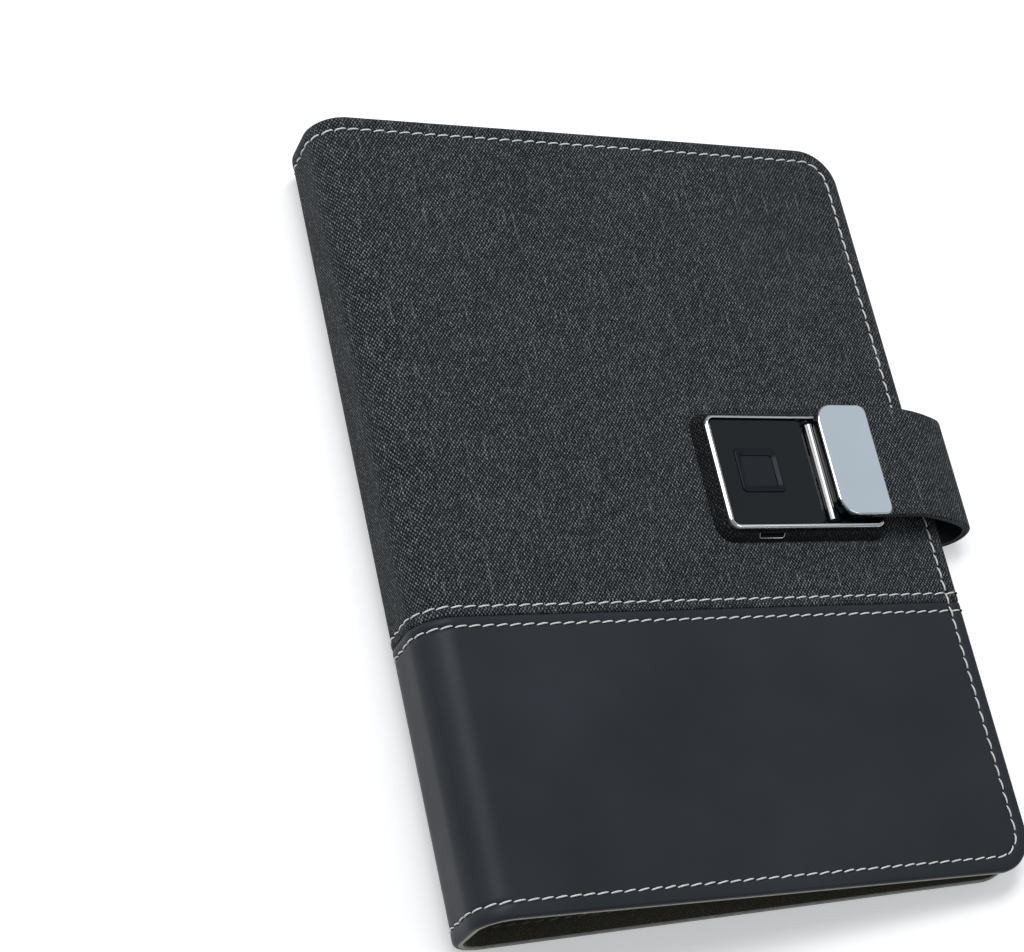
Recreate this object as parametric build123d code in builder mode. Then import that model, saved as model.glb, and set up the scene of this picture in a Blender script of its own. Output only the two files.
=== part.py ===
from build123d import *
import os
from math import acos, asin, atan2, cos, degrees, hypot, pi, radians, sin, sqrt, tan

# Ring-binder diary with a fingerprint lock, closed and strapped, lying on its back cover.
#
# The origin is the middle of the back cover's outer face. +X runs from the spine to the fore-edge,
# +Y from the tail to the head, and +Z up through the pages. The front cover slopes down to the
# fore-edge, so it and the lock are drawn on a tilted plane.

os.makedirs("parts", exist_ok=True)

# ---------------------------------------------------------------- driving dimensions, mm and degrees
# Cover: one sheet of skin, core and lining, folded at the spine
COVER_HEIGHT = 230.0  # tail edge to head edge
BACK_WIDTH = 171.5  # spine to the back cover's fore-edge
FRONT_EXTRA = 3.5  # by which the sloping front cover is the longer one
CORNER_RADIUS = 12.0
LOWER_BEND = 11.0  # outer radius of the fold between back and spine
UPPER_BEND = 9.5  # outer radius of the fold between spine and front
SKIN = 1.2
CORE = 1.2
LINING = 0.8
ROLLED_EDGE = 0.8
SEAM_FROM_TAIL = 79.8  # where the leather ends and the fabric begins
FOLD_GAP = 0.15  # half the play between the pieces on each side of a fold line

# Ring mechanism on the back cover's inside
RING_INNER_DIAMETER = 17.0
RING_WIRE = 2.2
RING_SPINE_ROOM = 6.1  # between the spine's lining and the closed rings
RING_OFFSETS = (35.0, 54.0, 73.0)  # A5 punching, each side of mid-height
RING_TIP_GAP = 0.1
HOUSING_WIDTH = 15.6
HOUSING_HEIGHT = 4.2
HOUSING_LENGTH = 175.6
METAL = 0.8  # sheet steel of the base and housing
BASE_CORNER = 1.5
BLADE = 1.0
BLADE_LIFT = 0.9  # blade's underside above the base
BLADE_SIDE_PLAY = 0.2
BLADE_END_PLAY = 0.2
WIRE_SLOT = 3.4
WIRE_SLOT_INSIDE = 0.9  # slot on the inner side of the half ring's wire
LEVER_WIDTH = 8.0
LEVER_PROFILE = (  # distance outward from the pin, height above it
    (-0.9, -1.15),
    (1.4, -1.15),
    (9.2, 3.6),
    (8.6, 4.8),
    (0.6, 1.7),
    (-0.9, 1.2),
)
LEVER_TAB_ROUNDING = 0.55
LEVER_FOOT_WIDTH = 1.6
LEVER_FOOT_START = 0.5
LEVER_REACH = 3.3  # lever foot's length from its pin
LEVER_FOOT_PLAY = 0.15  # between the foot and both the base and the blades
LEVER_PIN = 1.6
PIN_PLAY = 0.05
PIN_RISE = 0.2  # lever pins above the blades
LUG_FROM_HOUSING = 2.4
LUG_WIDTH = 3.2
LUG_THICKNESS = 0.8
RIVET = 3.0
RIVET_HEAD = 6.0
RIVET_TAPER = 20.0
RIVET_OFFSET = 44.5

# Page block
PAGE_FORE_MARGIN = 6.1  # leaves to the back cover's fore-edge
PAGE_HEIGHT = 210.0
PAGE_STACK = 3.6
PAGE_HOLE = 6.0
PAGE_HOLE_MARGIN = 5.5
PAGE_HOLE_OFFSET = 0.638  # hole's middle beyond the wire, at the block's half height
PAGE_RISE_LENGTH = 26.0  # run over which the leaves come down from the rings
PAGE_HOUSING_GAP = 0.6
PAGE_COVER_GAP = 0.3
SPINE_HEADROOM = 4.7  # above the rings, for their swing under the sloping cover

# Lock on the front cover
LOCK_LENGTH = 53.25  # across the book
LOCK_WIDTH = 34.9  # along the book
LOCK_FORE_MARGIN = 22.0  # lock to the front cover's fore-edge
LOCK_RISE = 3.95  # lock's middle above mid-height
LOCK_CORNER = 3.0
FRAME_WALL = 1.0
FRAME_SKIRT = 0.6  # frame below the plate's underside
FRAME_LIP = 0.5  # frame above the plate's face
FRAME_ROUNDING = 0.85  # outer edge, in frame walls
FRAME_BREAK = 0.1  # inner edge, in frame walls
TRAY_WALL = 1.2
TRAY_FLOOR = 0.8
PLATE_LENGTH = 32.05
PLATE_THICKNESS = 1.1
PLATE_ROUNDING = 0.7  # in its thicknesses
SURROUND_WIDTH = 2.3
SURROUND_HEIGHT = 2.8
SURROUND_TAPER = 30.0
SCREW = 1.0
SCREW_HEAD = 1.9
SCREW_INSET = 1.75
BOSS = 3.4
SCREW_HEAD_HEIGHT = 0.6
PLATE_BOSS = 1.6  # length of the bosses under the plate and the deck
BOARD_DROP = 0.65  # board below the plate
BOARD_FROM_END = 2.2
SEAT_PLAY = 0.1  # between pieces of the lock that drop into each other
SENSOR_FROM_END = 14.45  # sensor's middle from the lock's spine-side end
SENSOR_RISE = 0.25
BEZEL_LENGTH = 14.3
BEZEL_WIDTH = 13.4
BEZEL_WALL = 1.95
BEZEL_RISE = 0.4
BEZEL_LIP = 0.9
BEZEL_CORNER = 1.4
BEZEL_INNER_CORNER = 0.9
BEZEL_SLOPE_DEPTH = 1.2  # inner slope, in bezel rises
BEZEL_SLOPE_WIDTH = 0.6  # inner slope, in bezel walls
BEZEL_ROUNDING = 0.8  # outer edge, in bezel rises
SENSOR_RECESS = 0.3  # sensor's face below the plate's
BOARD_LENGTH = 24.0
BOARD_WIDTH = 22.0
BOARD_THICKNESS = 0.8
BOARD_CORNER = 1.0
BATTERY = (17.0, 19.0, 3.2)
POST = 2.0
BAR_WIDTH = 3.4
BAR_HEIGHT = 1.1
BAR_GROOVE = 1.4
BAR_LENGTH = 29.6
DECK = 0.5
SOCKET_WIDTH = 8.0
SOCKET_HEIGHT = 2.1
SOCKET_DEPTH = 7.2
SOCKET_METAL = 0.3
SOCKET_CORNER = 0.5
SOCKET_FROM_END = 14.45

# Latch: a rack on the bolt and a pinion on the motor
BOLT_TRAVEL = 2.8
BOLT_WIDTH = 7.0
BOLT_THICKNESS = 0.8
BOLT_PLAY = 0.08
BOLT_HEADROOM = 0.185  # under the deck
BOLT_FROM_TONGUE = 0.1  # withdrawn bolt's tip to the clasp's tongue
GEAR_MODULE = 0.3
GEAR_PRESSURE_ANGLE = 25.0
GEAR_ADDENDUM = 0.85  # in modules
GEAR_DEDENDUM = 1.05  # in modules
PINION_TEETH = 10
RACK_TEETH = 7
RACK_BEHIND = 1.5  # first tooth behind the pinion's axis, in pitches; the half gives a gap over it
GEAR_WIDTH = 2.4
PINION_FROM_BAR = 1.0  # pinion's axis on the spine side of the bar's middle
PAD_FROM_RACK = 0.1376  # guide's pad beyond the extended rack
GUIDE_LENGTH = 4.3
GUIDE_WALL = 1.0
GEAR_BACKLASH = 0.08
MOTOR_DIAMETER = 4.0
MOTOR_LENGTH = 9.0
MOTOR_SHAFT = 1.0
MOTOR_BORE = 2.0
MOTOR_FROM_BOLT = 0.3
SHAFT_END_PLAY = 0.2

# Clasp and strap
CLASP_LENGTH = 17.6
CLASP_WIDTH = 34.4
CLASP_FORE_MARGIN = 21.85
CLASP_RISE = 5.75  # clasp's and strap's middle above mid-height
CLASP_GAP = 0.3  # closed clasp above the frame
CLASP_BODY = 3.1
CLASP_PLATE = 0.8
CLASP_SPINE_CORNER = 5.5
CLASP_FORE_CORNER = 2.6
CLASP_OVERHANG = 0.5  # plate beyond the body
CLASP_ROUNDING = 0.55  # in plate thicknesses
CLASP_RIVET = 2.0
CLASP_RIVET_SPAN = 20.0
TONGUE_THICKNESS = 2.4
TONGUE_WIDTH = 12.0
TONGUE_BRIDGE = 0.865  # tongue under its window
TONGUE_ROOT = 2.0  # length held in the clasp's body
TONGUE_CHAMFER = 0.4
WINDOW_PLAY = 0.25  # above and below the bolt, in the tongue's window
WINDOW_SIDE_PLAY = 0.3
SLOT_SPINE_PLAY = 0.4  # round the tongue, in the deck's slot
SLOT_FORE_PLAY = 1.1
SLOT_SIDE_PLAY = 0.5
STRAP_WIDTH = 34.2
STRAP_FABRIC = 1.2
STRAP_LINING = 1.1
STRAP_CLEARANCE = 10.6  # strap's furthest point beyond the front cover's fore-edge
STRAP_SINK = 0.6  # strap's outer face above the back cover's, where it leaves the cover
STRAP_CREST_BEND = 45.0  # gentle bend where the strap leaves the clasp
STRAP_CREST_TURN = 23.0
STRAP_SEWN = 30.0  # length caught inside the back cover
STRAP_IN_CLASP = 6.0

# ---------------------------------------------------------------- derived sizes
COVER = SKIN + CORE + LINING
FRONT_WIDTH = BACK_WIDTH + FRONT_EXTRA
SPINE_X = -BACK_WIDTH / 2
BACK_FORE_X = SPINE_X + BACK_WIDTH
HEAD_Y = COVER_HEIGHT / 2
TAIL_Y = -HEAD_Y
SEAM_Y = TAIL_Y + SEAM_FROM_TAIL

RING_RADIUS = (RING_INNER_DIAMETER + RING_WIRE) / 2
RING_OUTER = RING_RADIUS + RING_WIRE / 2
RING_X = SPINE_X + COVER + RING_SPINE_ROOM + RING_OUTER
BASE_TOP = COVER + METAL
BLADE_Z = BASE_TOP + BLADE_LIFT + BLADE / 2
BLADE_HALF = HOUSING_WIDTH / 2 - METAL - BLADE_SIDE_PLAY
RING_FOOT = BLADE_HALF - RING_WIRE / 2
RING_Z = BLADE_Z + sqrt(RING_RADIUS**2 - RING_FOOT**2)
RING_TOP = RING_Z + RING_OUTER
HOUSING_TOP = BASE_TOP + HOUSING_HEIGHT
RING_YS = [side * offset for side in (-1, 1) for offset in RING_OFFSETS]
LUG_Y = HOUSING_LENGTH / 2 + LUG_FROM_HOUSING
LUG_X = LEVER_WIDTH / 2 + PIN_PLAY
PIN_Z = BLADE_Z + PIN_RISE
LUG_TOP = PIN_Z + LUG_WIDTH / 2
BASE_LENGTH = 2 * (LUG_Y + LUG_WIDTH / 2)

PAGE_RAISED = HOUSING_TOP + PAGE_HOUSING_GAP
WIRE_DROP = RING_Z - PAGE_RAISED - PAGE_STACK / 2
HOLE_X = RING_X + sqrt(RING_RADIUS**2 - WIRE_DROP**2) + PAGE_HOLE_OFFSET
PAGE_LEFT = HOLE_X - PAGE_HOLE_MARGIN
PAGE_RIGHT = BACK_FORE_X - PAGE_FORE_MARGIN
PAGE_TOP = COVER + PAGE_STACK

# The front cover rests just above the page block's fore-edge.
SPINE_DEPTH = RING_TOP + SPINE_HEADROOM + COVER
REST_X = PAGE_RIGHT - SPINE_X
REST_DROP = SPINE_DEPTH - PAGE_TOP - PAGE_COVER_GAP
FRONT_SLOPE = degrees(atan2(REST_DROP, REST_X) - asin(COVER / hypot(REST_X, REST_DROP)))
COS = cos(radians(FRONT_SLOPE))
SIN = sin(radians(FRONT_SLOPE))

# Fold lines lie on the skin, in the middle of each bend.
LOWER_CENTRE = (SPINE_X + LOWER_BEND, LOWER_BEND)
UPPER_CENTRE = (
    SPINE_X + UPPER_BEND,
    SPINE_DEPTH - (UPPER_BEND * SIN + UPPER_BEND) / COS,
)
LOWER_HALF = 45.0
UPPER_HALF = (90.0 + FRONT_SLOPE) / 2
LOWER_PLAY = degrees(FOLD_GAP / LOWER_BEND)
UPPER_PLAY = degrees(FOLD_GAP / UPPER_BEND)


def front_point(along, above=0.0):
    """Point in XZ, measured along the front cover from the spine and above its outer face."""
    return (
        SPINE_X + along * COS + above * SIN,
        SPINE_DEPTH - along * SIN + above * COS,
    )


def front_plane(along, rise, above=0.0):
    """Plane on the front cover, with its x towards the fore-edge and its y towards the head."""
    x, z = front_point(along, above)
    return Plane(origin=(x, rise, z), x_dir=(COS, 0, -SIN), z_dir=(SIN, 0, COS))


def polar(centre, radius, angle):
    """Point in XZ at a radius and an angle from a centre."""
    return (
        centre[0] + radius * cos(radians(angle)),
        centre[1] + radius * sin(radians(angle)),
    )


# Heights in the lock, above the front cover's face, from its floor up through the latch.
TRAY_BOTTOM = -(SKIN + CORE)
TRAY_INSIDE = TRAY_BOTTOM + TRAY_FLOOR
PINION_RADIUS = GEAR_MODULE * PINION_TEETH / 2
RACK_PITCH = pi * GEAR_MODULE
PINION_TIP = PINION_RADIUS + GEAR_ADDENDUM * GEAR_MODULE
MOTOR_AXIS = TRAY_INSIDE + max(MOTOR_DIAMETER / 2, PINION_TIP + SEAT_PLAY)
RACK_LINE = MOTOR_AXIS + PINION_RADIUS
BOLT_BOTTOM = RACK_LINE + GEAR_DEDENDUM * GEAR_MODULE
BOLT_TOP = BOLT_BOTTOM + BOLT_THICKNESS
PLATE_BOTTOM = BOLT_TOP + BOLT_HEADROOM
PLATE_TOP = PLATE_BOTTOM + PLATE_THICKNESS
FRAME_BOTTOM = PLATE_BOTTOM - FRAME_SKIRT
FRAME_TOP = PLATE_TOP + FRAME_LIP
CLASP_BOTTOM = FRAME_TOP + CLASP_GAP
STRAP_HEIGHT = CLASP_BOTTOM + CLASP_BODY
TONGUE_FOOT = BOLT_BOTTOM - WINDOW_PLAY - TONGUE_BRIDGE

# The strap leaves the back cover, turns up past the fore-edge and lies back over the lock.
STRAP = STRAP_FABRIC + STRAP_LINING
STRAP_FAR_X = front_point(FRONT_WIDTH)[0] + STRAP_CLEARANCE
STRAP_BEND = (
    (SPINE_DEPTH - STRAP_SINK) * COS
    + STRAP_HEIGHT
    - (STRAP_FAR_X - SPINE_X) * SIN
    - STRAP_CREST_BEND * (1 - cos(radians(STRAP_CREST_TURN)))
) / (COS - SIN + cos(radians(STRAP_CREST_TURN)))
STRAP_CENTRE = (STRAP_FAR_X - STRAP_BEND, STRAP_SINK + STRAP_BEND)
STRAP_CREST_ANGLE = 90 - FRONT_SLOPE - STRAP_CREST_TURN  # where the tight bend meets the gentle one
STRAP_CREST_CENTRE = polar(STRAP_CENTRE, STRAP_BEND - STRAP_CREST_BEND, STRAP_CREST_ANGLE)
STRAP_PLAY = degrees(FOLD_GAP / STRAP_BEND)
CLASP_ALONG = FRONT_WIDTH - CLASP_FORE_MARGIN - CLASP_LENGTH / 2
STRAP_END = front_point(FRONT_WIDTH - CLASP_FORE_MARGIN - STRAP_IN_CLASP, STRAP_HEIGHT)
STRAP_HEAD_Y = CLASP_RISE + STRAP_WIDTH / 2

LOCK_ALONG = FRONT_WIDTH - LOCK_FORE_MARGIN - LOCK_LENGTH / 2
LOCK_START = -LOCK_LENGTH / 2  # spine-side end, on the lock's own plane
TRAY_LENGTH = LOCK_LENGTH - 2 * (FRAME_WALL + SEAT_PLAY)
TRAY_WIDTH = LOCK_WIDTH - 2 * (FRAME_WALL + SEAT_PLAY)
ROOM_LENGTH = TRAY_LENGTH - 2 * TRAY_WALL
ROOM_WIDTH = TRAY_WIDTH - 2 * TRAY_WALL
ROOM_START = -ROOM_LENGTH / 2
SENSOR_P = LOCK_START + SENSOR_FROM_END
SOCKET_P = LOCK_START + SOCKET_FROM_END
PLATE_START = -TRAY_LENGTH / 2
PLATE_END = PLATE_START + PLATE_LENGTH
CLASP_P = CLASP_ALONG - LOCK_ALONG
CLASP_Q = CLASP_RISE - LOCK_RISE
STRAP_P = CLASP_P + CLASP_LENGTH / 2 - STRAP_IN_CLASP  # strap's end inside the clasp
RIVETS = [
    (STRAP_P + STRAP_IN_CLASP / 2, CLASP_Q + side * CLASP_RIVET_SPAN / 2) for side in (-1, 1)
]
BAR_P = PLATE_END + BAR_GROOVE + BAR_WIDTH / 2
DECK_START = PLATE_END + BAR_GROOVE / 2  # tray's deck that the bar and the clasp sit on
TONGUE_P = CLASP_P
PINION_P = BAR_P - PINION_FROM_BAR
BOLT_TIP = TONGUE_P - TONGUE_THICKNESS / 2 - BOLT_FROM_TONGUE + BOLT_TRAVEL
MOTOR_Q = CLASP_Q - BOLT_WIDTH / 2 - MOTOR_FROM_BOLT

BACK = "back"
SPINE = "spine"
FRONT = "front"


def lock_plane(above):
    """The lock's own plane, centred on the lock, at a height above the front cover's face."""
    return front_plane(LOCK_ALONG, LOCK_RISE, above)


def at_y(y):
    """Plane across the book that looks towards the tail; a positive extrusion runs to the tail."""
    return Plane.XZ.offset(-y)


# ---------------------------------------------------------------- cover: sections of its layers
def back_section(outer, inner, head_end):
    """Back cover between two depths under its outer face, with its half of the lower bend."""
    with BuildSketch(at_y(head_end)) as section:
        with BuildLine():
            turn = LOWER_PLAY - LOWER_HALF
            outside = CenterArc(LOWER_CENTRE, LOWER_BEND - outer, 270, turn)
            inside = CenterArc(LOWER_CENTRE, LOWER_BEND - inner, 270, turn)
            Line(outside @ 1, inside @ 1)
            Polyline(outside @ 0, (BACK_FORE_X, outer), (BACK_FORE_X, inner), inside @ 0)
        make_face()
    return section.sketch


def spine_section(outer, inner, head_end):
    """Spine between two depths under its outer face, with half of each bend."""
    with BuildSketch(at_y(head_end)) as section:
        with BuildLine():
            low_turn = LOWER_HALF - LOWER_PLAY
            top_turn = UPPER_PLAY - UPPER_HALF
            low_outside = CenterArc(LOWER_CENTRE, LOWER_BEND - outer, 180, low_turn)
            low_inside = CenterArc(LOWER_CENTRE, LOWER_BEND - inner, 180, low_turn)
            top_outside = CenterArc(UPPER_CENTRE, UPPER_BEND - outer, 180, top_turn)
            top_inside = CenterArc(UPPER_CENTRE, UPPER_BEND - inner, 180, top_turn)
            Line(low_outside @ 0, top_outside @ 0)
            Line(low_inside @ 0, top_inside @ 0)
            Line(low_outside @ 1, low_inside @ 1)
            Line(top_outside @ 1, top_inside @ 1)
        make_face()
    return section.sketch


def front_section(outer, inner, head_end):
    """Front cover between two depths under its outer face, with its half of the upper bend."""
    with BuildSketch(at_y(head_end)) as section:
        with BuildLine():
            start = 90 - FRONT_SLOPE
            turn = UPPER_HALF - UPPER_PLAY
            outside = CenterArc(UPPER_CENTRE, UPPER_BEND - outer, start, turn)
            inside = CenterArc(UPPER_CENTRE, UPPER_BEND - inner, start, turn)
            Line(outside @ 1, inside @ 1)
            Polyline(
                outside @ 0,
                front_point(FRONT_WIDTH, -outer),
                front_point(FRONT_WIDTH, -inner),
                inside @ 0,
            )
        make_face()
    return section.sketch


SECTIONS = {BACK: back_section, SPINE: spine_section, FRONT: front_section}
OUTWARD = {BACK: (0, 0, -1), SPINE: (-1, 0, 0), FRONT: (SIN, 0, COS)}


def layer(leaf, outer, inner, tail_end, head_end):
    """One layer of one leaf of the cover, with rounded fore-edge corners."""
    with BuildPart() as sheet:
        extrude(SECTIONS[leaf](outer, inner, head_end), amount=head_end - tail_end, dir=(0, -1, 0))
        if leaf != SPINE:
            through = Axis((0, 0, 0), OUTWARD[leaf])
            ends = sheet.edges().filter_by(through).group_by(Axis.X)[-1]
            fillet(ends.filter_by(lambda edge: abs(edge.center().Y) > HEAD_Y - SKIN), CORNER_RADIUS)
    return sheet.part


def rolled(leaf, sheet):
    """The same layer with its outer rim turned over the cut edge."""
    outward = Axis((0, 0, 0), OUTWARD[leaf])
    with BuildPart() as skin:
        add(sheet)
        face = skin.faces().filter_by(outward).sort_by(outward)[-1]
        rim = face.edges().filter_by(lambda edge: abs(edge.center().Y - SEAM_Y) > SKIN)
        fore_edge = rim.filter_by(Axis.Y).sort_by(Axis.X)[-1]
        fillet(rim.filter_by(Axis.Y, reverse=True) + [fore_edge], ROLLED_EDGE)
    return skin.part


# ---------------------------------------------------------------- back cover
with BuildPart() as back_fabric:
    add(rolled(BACK, layer(BACK, 0, SKIN, SEAM_Y, HEAD_Y)))

back_fabric.part.label = "back_fabric"
export_step(back_fabric.part, "parts/back_fabric.step")

with BuildPart() as back_leather:
    add(rolled(BACK, layer(BACK, 0, SKIN, TAIL_Y, SEAM_Y)))

back_leather.part.label = "back_leather"
export_step(back_leather.part, "parts/back_leather.step")

# The core is notched at the fore-edge for the sewn end of the strap.
with BuildPart() as back_core:
    add(layer(BACK, SKIN, SKIN + CORE, TAIL_Y, HEAD_Y))
    with BuildSketch(Plane.XY.offset(SKIN)):
        with Locations((BACK_FORE_X - STRAP_SEWN / 2, CLASP_RISE)):
            Rectangle(STRAP_SEWN, STRAP_WIDTH)
    extrude(amount=CORE, mode=Mode.SUBTRACT)
    with Locations(*[(RING_X, side * RIVET_OFFSET, SKIN + CORE / 2) for side in (-1, 1)]):
        Cylinder(RIVET / 2, CORE, mode=Mode.SUBTRACT)

back_core.part.label = "back_core"
export_step(back_core.part, "parts/back_core.step")

with BuildPart() as back_lining:
    add(layer(BACK, SKIN + CORE, COVER, TAIL_Y, HEAD_Y))
    with Locations(*[(RING_X, side * RIVET_OFFSET, COVER - LINING / 2) for side in (-1, 1)]):
        Cylinder(RIVET / 2, LINING, mode=Mode.SUBTRACT)

back_lining.part.label = "back_lining"
export_step(back_lining.part, "parts/back_lining.step")

# ---------------------------------------------------------------- spine
with BuildPart() as spine_fabric:
    add(layer(SPINE, 0, SKIN, SEAM_Y, HEAD_Y))

spine_fabric.part.label = "spine_fabric"
export_step(spine_fabric.part, "parts/spine_fabric.step")

with BuildPart() as spine_leather:
    add(layer(SPINE, 0, SKIN, TAIL_Y, SEAM_Y))

spine_leather.part.label = "spine_leather"
export_step(spine_leather.part, "parts/spine_leather.step")

with BuildPart() as spine_core:
    add(layer(SPINE, SKIN, SKIN + CORE, TAIL_Y, HEAD_Y))

spine_core.part.label = "spine_core"
export_step(spine_core.part, "parts/spine_core.step")

with BuildPart() as spine_lining:
    add(layer(SPINE, SKIN + CORE, COVER, TAIL_Y, HEAD_Y))

spine_lining.part.label = "spine_lining"
export_step(spine_lining.part, "parts/spine_lining.step")

# ---------------------------------------------------------------- front cover
with BuildPart() as front_fabric:
    add(rolled(FRONT, layer(FRONT, 0, SKIN, SEAM_Y, HEAD_Y)))
    with BuildSketch(lock_plane(0)):
        RectangleRounded(TRAY_LENGTH, TRAY_WIDTH, LOCK_CORNER - FRAME_WALL)
    extrude(amount=-SKIN, mode=Mode.SUBTRACT)

front_fabric.part.label = "front_fabric"
export_step(front_fabric.part, "parts/front_fabric.step")

with BuildPart() as front_leather:
    add(rolled(FRONT, layer(FRONT, 0, SKIN, TAIL_Y, SEAM_Y)))

front_leather.part.label = "front_leather"
export_step(front_leather.part, "parts/front_leather.step")

with BuildPart() as front_core:
    add(layer(FRONT, SKIN, SKIN + CORE, TAIL_Y, HEAD_Y))
    with BuildSketch(lock_plane(-SKIN)):
        RectangleRounded(TRAY_LENGTH, TRAY_WIDTH, LOCK_CORNER - FRAME_WALL)
    extrude(amount=-CORE, mode=Mode.SUBTRACT)

front_core.part.label = "front_core"
export_step(front_core.part, "parts/front_core.step")

with BuildPart() as front_lining:
    add(layer(FRONT, SKIN + CORE, COVER, TAIL_Y, HEAD_Y))

front_lining.part.label = "front_lining"
export_step(front_lining.part, "parts/front_lining.step")

# ---------------------------------------------------------------- ring mechanism
# A flat base, bent up into two lugs at each end for the lever pins.
with BuildPart() as ring_base:
    with BuildSketch(Plane.XY.offset(COVER)):
        with Locations((RING_X, 0)):
            RectangleRounded(HOUSING_WIDTH, BASE_LENGTH, BASE_CORNER)
    extrude(amount=METAL)
    for side in (-1, 1):
        with BuildSketch(Plane.YZ.offset(RING_X + side * LUG_X)):
            with Locations((0, COVER + (LUG_TOP - COVER) / 2)):
                with GridLocations(2 * LUG_Y, 0, 2, 1):
                    Rectangle(LUG_WIDTH, LUG_TOP - COVER)
        extrude(amount=side * LUG_THICKNESS)
    with BuildSketch(Plane.YZ.offset(RING_X - HOUSING_WIDTH / 2)):
        with Locations((-LUG_Y, PIN_Z), (LUG_Y, PIN_Z)):
            Circle(LEVER_PIN / 2)
    extrude(amount=HOUSING_WIDTH, mode=Mode.SUBTRACT)
    with Locations(*[(RING_X, side * RIVET_OFFSET, COVER + METAL / 2) for side in (-1, 1)]):
        Cylinder(RIVET / 2, METAL, mode=Mode.SUBTRACT)

ring_base.part.label = "ring_base"
export_step(ring_base.part, "parts/ring_base.step")

# Rivets hold the base to the core; their lower ends stop above the skin, so none shows outside.
with BuildPart() as ring_rivets:
    with BuildSketch(Plane.XY.offset(SKIN)):
        with Locations((RING_X, -RIVET_OFFSET), (RING_X, RIVET_OFFSET)):
            Circle(RIVET / 2)
    extrude(amount=BASE_TOP - SKIN)
    with BuildSketch(Plane.XY.offset(BASE_TOP)):
        with Locations((RING_X, -RIVET_OFFSET), (RING_X, RIVET_OFFSET)):
            Circle(RIVET_HEAD / 2)
    extrude(amount=BLADE_LIFT / 2, taper=RIVET_TAPER)

ring_rivets.part.label = "ring_rivets"
export_step(ring_rivets.part, "parts/ring_rivets.step")


def arch(half_width, top):
    """Outline of the arched housing, from the base's top up to its crown."""
    shoulder = BLADE_Z + BLADE / 2
    with BuildSketch(at_y(HOUSING_LENGTH / 2)) as outline:
        with BuildLine():
            foot_left = (RING_X - half_width, BASE_TOP)
            foot_right = (RING_X + half_width, BASE_TOP)
            left = (RING_X - half_width, shoulder)
            right = (RING_X + half_width, shoulder)
            Polyline(right, foot_right, foot_left, left)
            ThreePointArc(left, (RING_X, top), right)
        make_face()
    return outline.sketch


# Sprung steel arch over the blades, slotted where each half ring comes through its side.
with BuildPart() as ring_housing:
    extrude(arch(HOUSING_WIDTH / 2, HOUSING_TOP), amount=HOUSING_LENGTH, dir=(0, -1, 0))
    extrude(
        arch(HOUSING_WIDTH / 2 - METAL, HOUSING_TOP - METAL),
        amount=HOUSING_LENGTH,
        dir=(0, -1, 0),
        mode=Mode.SUBTRACT,
    )
    slot_inner = RING_FOOT - RING_WIRE / 2 - WIRE_SLOT_INSIDE
    slot_span = HOUSING_WIDTH / 2 - slot_inner
    with BuildSketch(Plane.XY.offset(BLADE_Z - BLADE / 2)):
        for side in (-1, 1):
            with Locations(*[(RING_X + side * (slot_inner + slot_span / 2), y) for y in RING_YS]):
                Rectangle(slot_span, WIRE_SLOT)
    extrude(amount=HOUSING_HEIGHT, mode=Mode.SUBTRACT)

ring_housing.part.label = "ring_housing"
export_step(ring_housing.part, "parts/ring_housing.step")


def half_rings(side):
    """A blade with its half rings; side is -1 towards the spine and 1 towards the pages."""
    below = degrees(atan2(RING_Z - BLADE_Z, RING_FOOT))
    tangent = (RING_Z - BLADE_Z, 0, side * RING_FOOT)
    with BuildPart() as rings:
        with BuildSketch(at_y(HOUSING_LENGTH / 2 - BLADE_END_PLAY)):
            with Locations((RING_X + side * (BLADE_HALF + RING_TIP_GAP) / 2, BLADE_Z)):
                Rectangle(BLADE_HALF - RING_TIP_GAP, BLADE)
        extrude(amount=HOUSING_LENGTH - 2 * BLADE_END_PLAY)
        for y in RING_YS:
            foot = (RING_X + side * RING_FOOT, y, BLADE_Z)
            with BuildSketch(Plane(origin=foot, z_dir=tangent)) as wire:
                Circle(RING_WIRE / 2)
            revolve(
                wire.sketch,
                axis=Axis((RING_X, y, RING_Z), (0, -side, 0)),
                revolution_arc=90 + below - degrees(RING_TIP_GAP / RING_RADIUS),
            )
    return rings


left_rings = half_rings(-1)
left_rings.part.label = "left_rings"
export_step(left_rings.part, "parts/left_rings.step")

right_rings = half_rings(1)
right_rings.part.label = "right_rings"
export_step(right_rings.part, "parts/right_rings.step")


def lever(side):
    """End lever on its pin: a thumb tab outside and a foot under the blades; side is the end."""
    profile = [(side * (LUG_Y + out), PIN_Z + up) for out, up in LEVER_PROFILE]
    with BuildPart() as piece:
        with BuildSketch(Plane.YZ.offset(RING_X - LEVER_WIDTH / 2)):
            with BuildLine():
                Polyline(profile, close=True)
            make_face()
        extrude(amount=LEVER_WIDTH)
        tab = piece.edges().filter_by(Axis.X).sort_by(Axis.Y)
        fillet(tab[-2:] if side > 0 else tab[:2], LEVER_TAB_ROUNDING)
        foot_middle = side * (LUG_Y - (LEVER_REACH + LEVER_FOOT_START) / 2)
        with BuildSketch(Plane.XY.offset(BASE_TOP + LEVER_FOOT_PLAY)):
            with Locations((RING_X, foot_middle)):
                Rectangle(LEVER_FOOT_WIDTH, LEVER_REACH - LEVER_FOOT_START)
        extrude(amount=BLADE_LIFT - 2 * LEVER_FOOT_PLAY)
        with BuildSketch(Plane.YZ.offset(RING_X - LEVER_WIDTH / 2)):
            with Locations((side * LUG_Y, PIN_Z)):
                Circle(LEVER_PIN / 2 + PIN_PLAY)
        extrude(amount=LEVER_WIDTH, mode=Mode.SUBTRACT)
    return piece


head_lever = lever(1)
head_lever.part.label = "head_lever"
export_step(head_lever.part, "parts/head_lever.step")

tail_lever = lever(-1)
tail_lever.part.label = "tail_lever"
export_step(tail_lever.part, "parts/tail_lever.step")

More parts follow.
